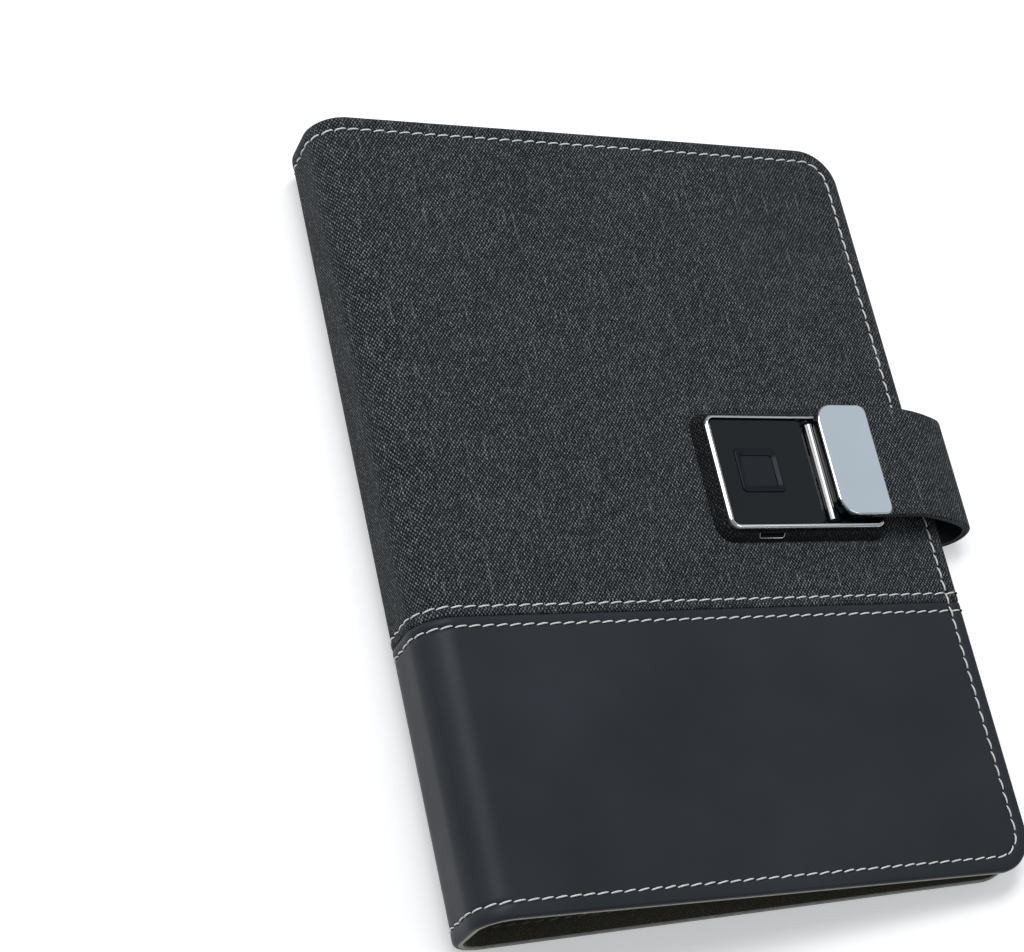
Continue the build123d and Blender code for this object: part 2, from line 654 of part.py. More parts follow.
with BuildPart() as lever_pins:
    pin_length = 2 * (LUG_X + LUG_THICKNESS)
    with BuildSketch(Plane.YZ.offset(RING_X - pin_length / 2)):
        with Locations((-LUG_Y, PIN_Z), (LUG_Y, PIN_Z)):
            Circle(LEVER_PIN / 2)
    extrude(amount=pin_length)

lever_pins.part.label = "lever_pins"
export_step(lever_pins.part, "parts/lever_pins.step")

# ---------------------------------------------------------------- page block
# The leaves lie on the lining and rise at their punched edge to go round the rings.
with BuildPart() as page_block:
    with BuildSketch(at_y(PAGE_HEIGHT / 2)):
        with BuildLine():
            rise_start = HOLE_X + PAGE_HOLE / 2 + PAGE_RISE_LENGTH
            rise_end = HOLE_X + PAGE_HOLE / 2
            under = Spline(
                (rise_start, COVER), (rise_end, PAGE_RAISED), tangents=((-1, 0), (-1, 0))
            )
            over = Spline(
                (rise_start, COVER + PAGE_STACK),
                (rise_end, PAGE_RAISED + PAGE_STACK),
                tangents=((-1, 0), (-1, 0)),
            )
            Polyline(
                under @ 1,
                (PAGE_LEFT, PAGE_RAISED),
                (PAGE_LEFT, PAGE_RAISED + PAGE_STACK),
                over @ 1,
            )
            Polyline(under @ 0, (PAGE_RIGHT, COVER), (PAGE_RIGHT, PAGE_TOP), over @ 0)
        make_face()
    extrude(amount=PAGE_HEIGHT)
    with BuildSketch(Plane.XY):
        with Locations(*[(HOLE_X, y) for y in RING_YS]):
            Circle(PAGE_HOLE / 2)
    extrude(amount=PAGE_RAISED + 2 * PAGE_STACK, mode=Mode.SUBTRACT)

page_block.part.label = "page_block"
export_step(page_block.part, "parts/page_block.step")

# ---------------------------------------------------------------- strap
LOWER_MIDDLE = -45.0  # angles of the two fold lines on the strap's tight bend
UPPER_MIDDLE = (90.0 - FRONT_SLOPE) / 2


def strap_root(outer, inner):
    """Sewn end between the cover's layers and the strap's first stretch, up to its lower fold."""
    with BuildSketch(at_y(STRAP_HEAD_Y)) as section:
        with BuildLine():
            turn = 90 + LOWER_MIDDLE - STRAP_PLAY
            outside = CenterArc(STRAP_CENTRE, STRAP_BEND - outer, 270, turn)
            inside = CenterArc(STRAP_CENTRE, STRAP_BEND - inner, 270, turn)
            Line(outside @ 1, inside @ 1)
            Polyline(
                outside @ 0,
                (BACK_FORE_X, STRAP_SINK + outer),
                (BACK_FORE_X, STRAP_SINK + inner),
                inside @ 0,
            )
        make_face()
    return section.sketch


def strap_loop(outer, inner):
    """Stretch of strap between its two folds."""
    with BuildSketch(at_y(STRAP_HEAD_Y)) as section:
        with BuildLine():
            start = LOWER_MIDDLE + STRAP_PLAY
            turn = UPPER_MIDDLE - LOWER_MIDDLE - 2 * STRAP_PLAY
            outside = CenterArc(STRAP_CENTRE, STRAP_BEND - outer, start, turn)
            inside = CenterArc(STRAP_CENTRE, STRAP_BEND - inner, start, turn)
            Line(outside @ 0, inside @ 0)
            Line(outside @ 1, inside @ 1)
        make_face()
    return section.sketch


def strap_arm(outer, inner):
    """Stretch of strap from its upper fold over the crest to the clasp, along the front cover."""
    end_along = FRONT_WIDTH - CLASP_FORE_MARGIN - STRAP_IN_CLASP
    with BuildSketch(at_y(STRAP_HEAD_Y)) as section:
        with BuildLine():
            start = UPPER_MIDDLE + STRAP_PLAY
            turn = STRAP_CREST_ANGLE - start
            outside = CenterArc(STRAP_CENTRE, STRAP_BEND - outer, start, turn)
            inside = CenterArc(STRAP_CENTRE, STRAP_BEND - inner, start, turn)
            over = CenterArc(
                STRAP_CREST_CENTRE, STRAP_CREST_BEND - outer, STRAP_CREST_ANGLE, STRAP_CREST_TURN
            )
            under = CenterArc(
                STRAP_CREST_CENTRE, STRAP_CREST_BEND - inner, STRAP_CREST_ANGLE, STRAP_CREST_TURN
            )
            Line(outside @ 0, inside @ 0)
            Polyline(
                over @ 1,
                front_point(end_along, STRAP_HEIGHT - outer),
                front_point(end_along, STRAP_HEIGHT - inner),
                under @ 1,
            )
        make_face()
    return section.sketch


# The root's outer layer also holds the skived tongue that is sewn into the notch of the core.
with BuildPart() as strap_root_fabric:
    extrude(strap_root(0, STRAP_FABRIC), amount=STRAP_WIDTH, dir=(0, -1, 0))
    with BuildSketch(Plane.XY.offset(SKIN)):
        with Locations((BACK_FORE_X - STRAP_SEWN / 2, CLASP_RISE)):
            Rectangle(STRAP_SEWN, STRAP_WIDTH)
    extrude(amount=CORE)

strap_root_fabric.part.label = "strap_root_fabric"
export_step(strap_root_fabric.part, "parts/strap_root_fabric.step")

with BuildPart() as strap_root_lining:
    extrude(strap_root(STRAP_FABRIC, STRAP), amount=STRAP_WIDTH, dir=(0, -1, 0))

strap_root_lining.part.label = "strap_root_lining"
export_step(strap_root_lining.part, "parts/strap_root_lining.step")

with BuildPart() as strap_loop_fabric:
    extrude(strap_loop(0, STRAP_FABRIC), amount=STRAP_WIDTH, dir=(0, -1, 0))

strap_loop_fabric.part.label = "strap_loop_fabric"
export_step(strap_loop_fabric.part, "parts/strap_loop_fabric.step")

with BuildPart() as strap_loop_lining:
    extrude(strap_loop(STRAP_FABRIC, STRAP), amount=STRAP_WIDTH, dir=(0, -1, 0))

strap_loop_lining.part.label = "strap_loop_lining"
export_step(strap_loop_lining.part, "parts/strap_loop_lining.step")

with BuildPart() as strap_arm_fabric:
    extrude(strap_arm(0, STRAP_FABRIC), amount=STRAP_WIDTH, dir=(0, -1, 0))
    with BuildSketch(lock_plane(STRAP_HEIGHT - STRAP)):
        with Locations(*RIVETS):
            Circle(CLASP_RIVET / 2)
    extrude(amount=STRAP, mode=Mode.SUBTRACT)

strap_arm_fabric.part.label = "strap_arm_fabric"
export_step(strap_arm_fabric.part, "parts/strap_arm_fabric.step")

with BuildPart() as strap_arm_lining:
    extrude(strap_arm(STRAP_FABRIC, STRAP), amount=STRAP_WIDTH, dir=(0, -1, 0))
    with BuildSketch(lock_plane(STRAP_HEIGHT - STRAP)):
        with Locations(*RIVETS):
            Circle(CLASP_RIVET / 2)
    extrude(amount=STRAP, mode=Mode.SUBTRACT)

strap_arm_lining.part.label = "strap_arm_lining"
export_step(strap_arm_lining.part, "parts/strap_arm_lining.step")

# ---------------------------------------------------------------- lock: housing
def lock_section(q):
    """Upright plane across the lock at q; x runs to the fore-edge and y up from the cover."""
    origin = lock_plane(0).from_local_coords((0, q, 0))
    return Plane(origin=origin, x_dir=(COS, 0, -SIN), z_dir=(0, -1, 0))


SCREWS = [
    (side_p * (ROOM_LENGTH / 2 - SCREW_INSET), side_q * (ROOM_WIDTH / 2 - SCREW_INSET))
    for side_p in (-1, 1)
    for side_q in (-1, 1)
]
SPINE_SCREWS = SCREWS[:2]
FORE_SCREWS = SCREWS[2:]
BOSS_TOP = PLATE_BOTTOM - PLATE_BOSS
BOARD_TOP = PLATE_BOTTOM - BOARD_DROP
BOARD_BOTTOM = BOARD_TOP - BOARD_THICKNESS
BOARD_P = ROOM_START + BOARD_LENGTH / 2 + BOARD_FROM_END
POSTS = [
    (BOARD_P + side_p * (BOARD_LENGTH / 2 - POST), side_q * (BOARD_WIDTH / 2 - POST))
    for side_p in (-1, 1)
    for side_q in (-1, 1)
]
SOCKET_H = FRAME_BOTTOM - SOCKET_HEIGHT / 2
RACK_START = PINION_P - RACK_BEHIND * RACK_PITCH  # middle of the rack's first tooth
RACK_END = RACK_START + (RACK_TEETH - 1 / 2) * RACK_PITCH
PAD_LENGTH = GUIDE_LENGTH / 2
GUIDE_START = RACK_END + PAD_FROM_RACK - PAD_LENGTH

# Moulded tray: a flange on the fabric, a well through the cover's core, bosses, posts and guides.
with BuildPart() as lock_tray:
    with BuildSketch(lock_plane(0)):
        RectangleRounded(LOCK_LENGTH, LOCK_WIDTH, LOCK_CORNER)
    extrude(amount=FRAME_BOTTOM)
    with BuildSketch(lock_plane(TRAY_BOTTOM)):
        RectangleRounded(TRAY_LENGTH, TRAY_WIDTH, LOCK_CORNER - FRAME_WALL)
    extrude(amount=PLATE_BOTTOM - TRAY_BOTTOM)
    with BuildSketch(lock_plane(TRAY_INSIDE)):
        Rectangle(ROOM_LENGTH, ROOM_WIDTH)
    extrude(amount=PLATE_BOTTOM - TRAY_INSIDE, mode=Mode.SUBTRACT)
    with BuildSketch(lock_plane(TRAY_INSIDE)):
        with Locations(*SCREWS):
            Circle(BOSS / 2)
    extrude(amount=BOSS_TOP - TRAY_INSIDE)
    with BuildSketch(lock_plane(TRAY_INSIDE)):
        with Locations(*POSTS):
            Circle(POST / 2)
    extrude(amount=BOARD_BOTTOM - TRAY_INSIDE)
    with BuildSketch(lock_plane(TRAY_INSIDE)):
        for side in (-1, 1):
            wall_q = CLASP_Q + side * (BOLT_WIDTH / 2 + BOLT_PLAY + GUIDE_WALL / 2)
            with Locations((GUIDE_START + GUIDE_LENGTH / 2, wall_q)):
                Rectangle(GUIDE_LENGTH, GUIDE_WALL)
    extrude(amount=BOLT_TOP - TRAY_INSIDE)
    with BuildSketch(lock_plane(TRAY_INSIDE)):
        with Locations((GUIDE_START + GUIDE_LENGTH - PAD_LENGTH / 2, CLASP_Q)):
            Rectangle(PAD_LENGTH, BOLT_WIDTH + 2 * BOLT_PLAY)
    extrude(amount=BOLT_BOTTOM - BOLT_PLAY - TRAY_INSIDE)
    with BuildSketch(lock_plane(TRAY_BOTTOM)):
        with Locations(*SCREWS):
            Circle(SCREW / 2 + SEAT_PLAY)
    extrude(amount=BOSS_TOP - TRAY_BOTTOM, mode=Mode.SUBTRACT)
    with BuildSketch(lock_plane(TRAY_BOTTOM)):
        with Locations(*SCREWS):
            Circle(SCREW_HEAD / 2 + SEAT_PLAY)
    extrude(amount=SCREW_HEAD_HEIGHT, mode=Mode.SUBTRACT)
    with BuildSketch(lock_section(-ROOM_WIDTH / 2 + SEAT_PLAY)):
        with Locations((SOCKET_P, SOCKET_H)):
            Rectangle(SOCKET_WIDTH, SOCKET_HEIGHT)
    extrude(amount=SOCKET_DEPTH, mode=Mode.SUBTRACT)

lock_tray.part.label = "lock_tray"
export_step(lock_tray.part, "parts/lock_tray.step")

# Padded fabric surround, with an opening for the charging socket on its tail side.
with BuildPart() as lock_surround:
    with BuildSketch(lock_plane(0)):
        RectangleRounded(
            LOCK_LENGTH + 2 * SURROUND_WIDTH,
            LOCK_WIDTH + 2 * SURROUND_WIDTH,
            LOCK_CORNER + SURROUND_WIDTH,
        )
    extrude(amount=SURROUND_HEIGHT, taper=SURROUND_TAPER)
    with BuildSketch(lock_plane(0)):
        RectangleRounded(
            LOCK_LENGTH + 2 * SEAT_PLAY, LOCK_WIDTH + 2 * SEAT_PLAY, LOCK_CORNER + SEAT_PLAY
        )
    extrude(amount=SURROUND_HEIGHT, mode=Mode.SUBTRACT)
    with BuildSketch(lock_section(-LOCK_WIDTH / 2)):
        with Locations((SOCKET_P, SOCKET_H - SOCKET_HEIGHT / 2)):
            Rectangle(SOCKET_WIDTH, SURROUND_HEIGHT, align=(Align.CENTER, Align.MIN))
    extrude(amount=2 * SURROUND_WIDTH, mode=Mode.SUBTRACT)

lock_surround.part.label = "lock_surround"
export_step(lock_surround.part, "parts/lock_surround.step")

with BuildPart() as lock_frame:
    with BuildSketch(lock_plane(FRAME_BOTTOM)):
        RectangleRounded(LOCK_LENGTH, LOCK_WIDTH, LOCK_CORNER)
        RectangleRounded(
            TRAY_LENGTH + 2 * SEAT_PLAY,
            TRAY_WIDTH + 2 * SEAT_PLAY,
            LOCK_CORNER - FRAME_WALL + SEAT_PLAY,
            mode=Mode.SUBTRACT,
        )
    extrude(amount=FRAME_TOP - FRAME_BOTTOM)
    outward = Axis((0, 0, 0), OUTWARD[FRONT])
    rim = lock_frame.faces().filter_by(outward).sort_by(outward)[-1]
    fillet(rim.outer_wire().edges(), FRAME_WALL * FRAME_ROUNDING)
    rim = lock_frame.faces().filter_by(outward).sort_by(outward)[-1]
    chamfer(rim.inner_wires()[0].edges(), FRAME_WALL * FRAME_BREAK)

lock_frame.part.label = "lock_frame"
export_step(lock_frame.part, "parts/lock_frame.step")

# Gloss plate with a window for the sensor's bezel and two screw bosses underneath.
with BuildPart() as lock_plate:
    with BuildSketch(lock_plane(PLATE_BOTTOM)):
        with Locations((PLATE_START + PLATE_LENGTH / 2, 0)):
            RectangleRounded(PLATE_LENGTH, TRAY_WIDTH, LOCK_CORNER - FRAME_WALL)
        with Locations((SENSOR_P, SENSOR_RISE)):
            RectangleRounded(
                BEZEL_LENGTH + 2 * SEAT_PLAY,
                BEZEL_WIDTH + 2 * SEAT_PLAY,
                BEZEL_CORNER + SEAT_PLAY,
                mode=Mode.SUBTRACT,
            )
    extrude(amount=PLATE_THICKNESS)
    top = lock_plate.faces().filter_by(outward).sort_by(outward)[-1]
    fillet(top.outer_wire().edges(), PLATE_THICKNESS * PLATE_ROUNDING)
    with BuildSketch(lock_plane(BOSS_TOP)):
        with Locations(*SPINE_SCREWS):
            Circle(BOSS / 2)
    extrude(amount=PLATE_BOTTOM - BOSS_TOP)
    with BuildSketch(lock_plane(BOSS_TOP)):
        with Locations(*SPINE_SCREWS):
            Circle(SCREW / 2)
    extrude(amount=PLATE_BOTTOM - BOSS_TOP, mode=Mode.SUBTRACT)

lock_plate.part.label = "lock_plate"
export_step(lock_plate.part, "parts/lock_plate.step")

with BuildPart() as sensor_bezel:
    with BuildSketch(lock_plane(BOARD_TOP)):
        with Locations((SENSOR_P, SENSOR_RISE)):
            RectangleRounded(
                BEZEL_LENGTH + 2 * BEZEL_LIP, BEZEL_WIDTH + 2 * BEZEL_LIP, BEZEL_CORNER
            )
    extrude(amount=PLATE_BOTTOM - BOARD_TOP)
    with BuildSketch(lock_plane(PLATE_BOTTOM)):
        with Locations((SENSOR_P, SENSOR_RISE)):
            RectangleRounded(BEZEL_LENGTH, BEZEL_WIDTH, BEZEL_CORNER)
    extrude(amount=PLATE_TOP + BEZEL_RISE - PLATE_BOTTOM)
    with BuildSketch(lock_plane(BOARD_TOP)):
        with Locations((SENSOR_P, SENSOR_RISE)):
            RectangleRounded(
                BEZEL_LENGTH - 2 * BEZEL_WALL, BEZEL_WIDTH - 2 * BEZEL_WALL, BEZEL_INNER_CORNER
            )
    extrude(amount=PLATE_TOP + BEZEL_RISE - BOARD_TOP, mode=Mode.SUBTRACT)
    rim = sensor_bezel.faces().filter_by(outward).sort_by(outward)[-1]
    chamfer(
        rim.inner_wires()[0].edges(), BEZEL_RISE * BEZEL_SLOPE_DEPTH, BEZEL_WALL * BEZEL_SLOPE_WIDTH
    )
    rim = sensor_bezel.faces().filter_by(outward).sort_by(outward)[-1]
    fillet(rim.outer_wire().edges(), BEZEL_RISE * BEZEL_ROUNDING)

sensor_bezel.part.label = "sensor_bezel"
export_step(sensor_bezel.part, "parts/sensor_bezel.step")

with BuildPart() as fingerprint_sensor:
    with BuildSketch(lock_plane(BOARD_TOP)):
        with Locations((SENSOR_P, SENSOR_RISE)):
            RectangleRounded(
                BEZEL_LENGTH - 2 * (BEZEL_WALL + SEAT_PLAY),
                BEZEL_WIDTH - 2 * (BEZEL_WALL + SEAT_PLAY),
                BEZEL_INNER_CORNER - SEAT_PLAY,
            )
    extrude(amount=PLATE_TOP - SENSOR_RECESS - BOARD_TOP)

fingerprint_sensor.part.label = "fingerprint_sensor"
export_step(fingerprint_sensor.part, "parts/fingerprint_sensor.step")

# Deck over the latch, with a slot for the tongue, longer on the side the tongue swings out to.
with BuildPart() as latch_deck:
    deck_length = TRAY_LENGTH / 2 - DECK_START
    with BuildSketch(lock_plane(PLATE_BOTTOM)):
        with Locations((DECK_START + deck_length / 2, 0)):
            Rectangle(deck_length, TRAY_WIDTH)
        slot_length = TONGUE_THICKNESS + SLOT_SPINE_PLAY + SLOT_FORE_PLAY
        slot_p = TONGUE_P + (SLOT_FORE_PLAY - SLOT_SPINE_PLAY) / 2
        with Locations((slot_p, CLASP_Q)):
            Rectangle(slot_length, TONGUE_WIDTH + 2 * SLOT_SIDE_PLAY, mode=Mode.SUBTRACT)
    extrude(amount=DECK)
    through = Axis((0, 0, 0), OUTWARD[FRONT])
    corners = latch_deck.edges().filter_by(through).group_by(Axis.X)[-1]
    fillet(corners, LOCK_CORNER - FRAME_WALL)
    with BuildSketch(lock_plane(BOSS_TOP)):
        with Locations(*FORE_SCREWS):
            Circle(BOSS / 2)
    extrude(amount=PLATE_BOTTOM - BOSS_TOP)
    with BuildSketch(lock_plane(BOSS_TOP)):
        with Locations(*FORE_SCREWS):
            Circle(SCREW / 2)
    extrude(amount=PLATE_BOTTOM - BOSS_TOP, mode=Mode.SUBTRACT)

latch_deck.part.label = "latch_deck"
export_step(latch_deck.part, "parts/latch_deck.step")

# Half-round bar across the deck, between the plate and the clasp.
with BuildPart() as lock_bar:
    with BuildSketch(lock_section(BAR_LENGTH / 2)):
        with BuildLine():
            left = (BAR_P - BAR_WIDTH / 2, PLATE_BOTTOM + DECK)
            right = (BAR_P + BAR_WIDTH / 2, PLATE_BOTTOM + DECK)
            ThreePointArc(left, (BAR_P, PLATE_BOTTOM + DECK + BAR_HEIGHT), right)
            Line(right, left)
        make_face()
    extrude(amount=BAR_LENGTH)

lock_bar.part.label = "lock_bar"
export_step(lock_bar.part, "parts/lock_bar.step")

with BuildPart() as lock_screws:
    with BuildSketch(lock_plane(TRAY_BOTTOM + SCREW_HEAD_HEIGHT)):
        with Locations(*SCREWS):
            Circle(SCREW / 2)
    extrude(amount=PLATE_BOTTOM - TRAY_BOTTOM - SCREW_HEAD_HEIGHT)
    with BuildSketch(lock_plane(TRAY_BOTTOM)):
        with Locations(*SCREWS):
            Circle(SCREW_HEAD / 2)
    extrude(amount=SCREW_HEAD_HEIGHT)

lock_screws.part.label = "lock_screws"
export_step(lock_screws.part, "parts/lock_screws.step")

# ---------------------------------------------------------------- lock: electronics
# The board is notched at its tail edge, where the socket sits in it.
with BuildPart() as circuit_board:
    with BuildSketch(lock_plane(BOARD_BOTTOM)):
        with Locations((BOARD_P, 0)):
            RectangleRounded(BOARD_LENGTH, BOARD_WIDTH, BOARD_CORNER)
        with Locations((SOCKET_P, -LOCK_WIDTH / 2 + SOCKET_DEPTH / 2)):
            Rectangle(SOCKET_WIDTH, SOCKET_DEPTH, mode=Mode.SUBTRACT)
    extrude(amount=BOARD_THICKNESS)

circuit_board.part.label = "circuit_board"
export_step(circuit_board.part, "parts/circuit_board.step")

with BuildPart() as battery:
    with BuildSketch(lock_plane(TRAY_INSIDE)):
        with Locations((BOARD_P, 0)):
            RectangleRounded(BATTERY[0], BATTERY[1], BOARD_CORNER)
    extrude(amount=BATTERY[2])

battery.part.label = "battery"
export_step(battery.part, "parts/battery.step")

with BuildPart() as charging_socket:
    with BuildSketch(lock_section(-LOCK_WIDTH / 2 + SOCKET_DEPTH)):
        with Locations((SOCKET_P, SOCKET_H)):
            RectangleRounded(SOCKET_WIDTH, SOCKET_HEIGHT, SOCKET_CORNER)
    extrude(amount=SOCKET_DEPTH)
    with BuildSketch(lock_section(-LOCK_WIDTH / 2 + SOCKET_DEPTH - SOCKET_METAL)):
        with Locations((SOCKET_P, SOCKET_H)):
            Rectangle(SOCKET_WIDTH - 2 * SOCKET_METAL, SOCKET_HEIGHT - 2 * SOCKET_METAL)
    extrude(amount=SOCKET_DEPTH, mode=Mode.SUBTRACT)

charging_socket.part.label = "charging_socket"
export_step(charging_socket.part, "parts/charging_socket.step")

# ---------------------------------------------------------------- latch
with BuildPart() as latch_motor:
    with BuildSketch(lock_section(MOTOR_Q)):
        with Locations((PINION_P, MOTOR_AXIS)):
            Circle(MOTOR_DIAMETER / 2)
    extrude(amount=MOTOR_LENGTH)
    with BuildSketch(lock_section(MOTOR_Q)):
        with Locations((PINION_P, MOTOR_AXIS)):
            Circle(MOTOR_SHAFT / 2 + PIN_PLAY)
    extrude(amount=MOTOR_BORE, mode=Mode.SUBTRACT)

latch_motor.part.label = "latch_motor"
export_step(latch_motor.part, "parts/latch_motor.step")


def involute(base_radius, radius):
    """Angle in degrees that an involute has turned through at a radius."""
    pressure = acos(base_radius / radius)
    return degrees(tan(pressure) - pressure)


def pinion_outline():
    """Outline of the pinion on the lock's upright plane, with one tooth pointing up at the rack."""
    centre = (PINION_P, MOTOR_AXIS)
    base = PINION_RADIUS * cos(radians(GEAR_PRESSURE_ANGLE))
    root = PINION_RADIUS - GEAR_DEDENDUM * GEAR_MODULE
    thickness = RACK_PITCH / 2 - GEAR_BACKLASH / 2
    half = degrees(thickness / 2 / PINION_RADIUS) + involute(base, PINION_RADIUS)
    radii = [base + (PINION_TIP - base) * step / 3 for step in range(4)]
    with BuildSketch(lock_section(CLASP_Q + GEAR_WIDTH / 2)) as outline:
        with Locations(centre):
            Circle(root)
        for tooth in range(PINION_TEETH):
            middle = 90 + 360 / PINION_TEETH * tooth
            rising = [polar(centre, r, middle + half - involute(base, r)) for r in radii]
            falling = [polar(centre, r, middle - half + involute(base, r)) for r in radii]
            with BuildLine():
                Spline(rising)
                Spline(falling)
                ThreePointArc(rising[-1], polar(centre, PINION_TIP, middle), falling[-1])
                Polyline(
                    rising[0],
                    polar(centre, root / 2, middle + half),
                    polar(centre, root / 2, middle - half),
                    falling[0],
                )
            make_face()
    return outline.sketch


# The pinion and its shaft turn as one piece in the motor.
with BuildPart() as motor_pinion:
    extrude(pinion_outline(), amount=GEAR_WIDTH, dir=(0, -1, 0))
    with BuildSketch(lock_section(CLASP_Q + GEAR_WIDTH / 2)):
        with Locations((PINION_P, MOTOR_AXIS)):
            Circle(MOTOR_SHAFT / 2)
    extrude(amount=CLASP_Q + GEAR_WIDTH / 2 - MOTOR_Q + MOTOR_BORE - SHAFT_END_PLAY)

motor_pinion.part.label = "motor_pinion"
export_step(motor_pinion.part, "parts/motor_pinion.step")

# Bolt: a flat tongue with a bevelled tip and a rack under its tail.
with BuildPart() as latch_bolt:
    bolt_tail = RACK_START - RACK_PITCH / 2
    with BuildSketch(lock_section(CLASP_Q + BOLT_WIDTH / 2)):
        with BuildLine():
            Polyline(
                (bolt_tail, BOLT_BOTTOM),
                (BOLT_TIP, BOLT_BOTTOM),
                (BOLT_TIP, BOLT_BOTTOM + BOLT_THICKNESS / 3),
                (BOLT_TIP - BOLT_THICKNESS, BOLT_TOP),
                (bolt_tail, BOLT_TOP),
                close=True,
            )
        make_face()
    extrude(amount=BOLT_WIDTH)
    tip_line = RACK_LINE - GEAR_ADDENDUM * GEAR_MODULE
    slope = tan(radians(GEAR_PRESSURE_ANGLE))
    half = RACK_PITCH / 4 - GEAR_BACKLASH / 4
    with BuildSketch(lock_section(CLASP_Q + GEAR_WIDTH / 2)):
        for tooth in range(RACK_TEETH):
            middle = RACK_START + RACK_PITCH * tooth
            root_half = half + (BOLT_BOTTOM - RACK_LINE) * slope
            tip_half = half - (RACK_LINE - tip_line) * slope
            with BuildLine():
                Polyline(
                    (middle - root_half, BOLT_BOTTOM + BOLT_THICKNESS / 2),
                    (middle - root_half, BOLT_BOTTOM),
                    (middle - tip_half, tip_line),
                    (middle + tip_half, tip_line),
                    (middle + root_half, BOLT_BOTTOM),
                    (middle + root_half, BOLT_BOTTOM + BOLT_THICKNESS / 2),
                    close=True,
                )
            make_face()
    extrude(amount=GEAR_WIDTH)

latch_bolt.part.label = "latch_bolt"
export_step(latch_bolt.part, "parts/latch_bolt.step")

# ---------------------------------------------------------------- clasp
def clasp_outline(inset, above):
    """Outline of the clasp, with larger corners towards the spine."""
    with BuildSketch(lock_plane(above)) as outline:
        with Locations((CLASP_P, CLASP_Q)):
            Rectangle(CLASP_LENGTH - 2 * inset, CLASP_WIDTH - 2 * inset)
        by_side = outline.vertices().group_by(Axis.X)
        fillet(by_side[0], CLASP_SPINE_CORNER - inset)
        fillet(outline.vertices().group_by(Axis.X)[-1], CLASP_FORE_CORNER - inset)
    return outline.sketch


with BuildPart() as clasp_plate:
    extrude(clasp_outline(0, STRAP_HEIGHT), amount=CLASP_PLATE)
    top = clasp_plate.faces().filter_by(outward).sort_by(outward)[-1]
    fillet(top.outer_wire().edges(), CLASP_PLATE * CLASP_ROUNDING)

clasp_plate.part.label = "clasp_plate"
export_step(clasp_plate.part, "parts/clasp_plate.step")

# The body is stepped: the strap's end lies between its fore part and the plate.
with BuildPart() as clasp_body:
    extrude(clasp_outline(CLASP_OVERHANG, CLASP_BOTTOM), amount=STRAP_HEIGHT - CLASP_BOTTOM)
    with BuildSketch(lock_plane(STRAP_HEIGHT - STRAP)):
        with Locations((STRAP_P + CLASP_LENGTH / 2, CLASP_Q)):
            Rectangle(CLASP_LENGTH, CLASP_WIDTH)
    extrude(amount=STRAP, mode=Mode.SUBTRACT)
    with BuildSketch(lock_plane(CLASP_BOTTOM)):
        with Locations((TONGUE_P, CLASP_Q)):
            Rectangle(TONGUE_THICKNESS, TONGUE_WIDTH)
    extrude(amount=TONGUE_ROOT, mode=Mode.SUBTRACT)
    with BuildSketch(lock_plane(CLASP_BOTTOM)):
        with Locations(*RIVETS):
            Circle(CLASP_RIVET / 2)
    extrude(amount=STRAP_HEIGHT, mode=Mode.SUBTRACT)

clasp_body.part.label = "clasp_body"
export_step(clasp_body.part, "parts/clasp_body.step")

# Steel tongue with the window that the bolt goes through.
with BuildPart() as clasp_tongue:
    with BuildSketch(lock_plane(TONGUE_FOOT)):
        with Locations((TONGUE_P, CLASP_Q)):
            Rectangle(TONGUE_THICKNESS, TONGUE_WIDTH)
    extrude(amount=CLASP_BOTTOM - TONGUE_FOOT + TONGUE_ROOT)
    tongue_foot = clasp_tongue.faces().filter_by(outward).sort_by(outward)[0]
    chamfer(tongue_foot.edges().filter_by(Axis.Y), TONGUE_CHAMFER)
    with BuildSketch(lock_plane(BOLT_BOTTOM - WINDOW_PLAY)):
        with Locations((TONGUE_P, CLASP_Q)):
            Rectangle(TONGUE_THICKNESS, BOLT_WIDTH + 2 * WINDOW_SIDE_PLAY)
    extrude(amount=BOLT_THICKNESS + 2 * WINDOW_PLAY, mode=Mode.SUBTRACT)

clasp_tongue.part.label = "clasp_tongue"
export_step(clasp_tongue.part, "parts/clasp_tongue.step")

with BuildPart() as clasp_rivets:
    with BuildSketch(lock_plane(CLASP_BOTTOM)):
        with Locations(*RIVETS):
            Circle(CLASP_RIVET / 2)
    extrude(amount=STRAP_HEIGHT - CLASP_BOTTOM)

clasp_rivets.part.label = "clasp_rivets"
export_step(clasp_rivets.part, "parts/clasp_rivets.step")
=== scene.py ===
import math
import random

import bmesh
import bpy
import numpy as np
from mathutils import Matrix, Vector, geometry


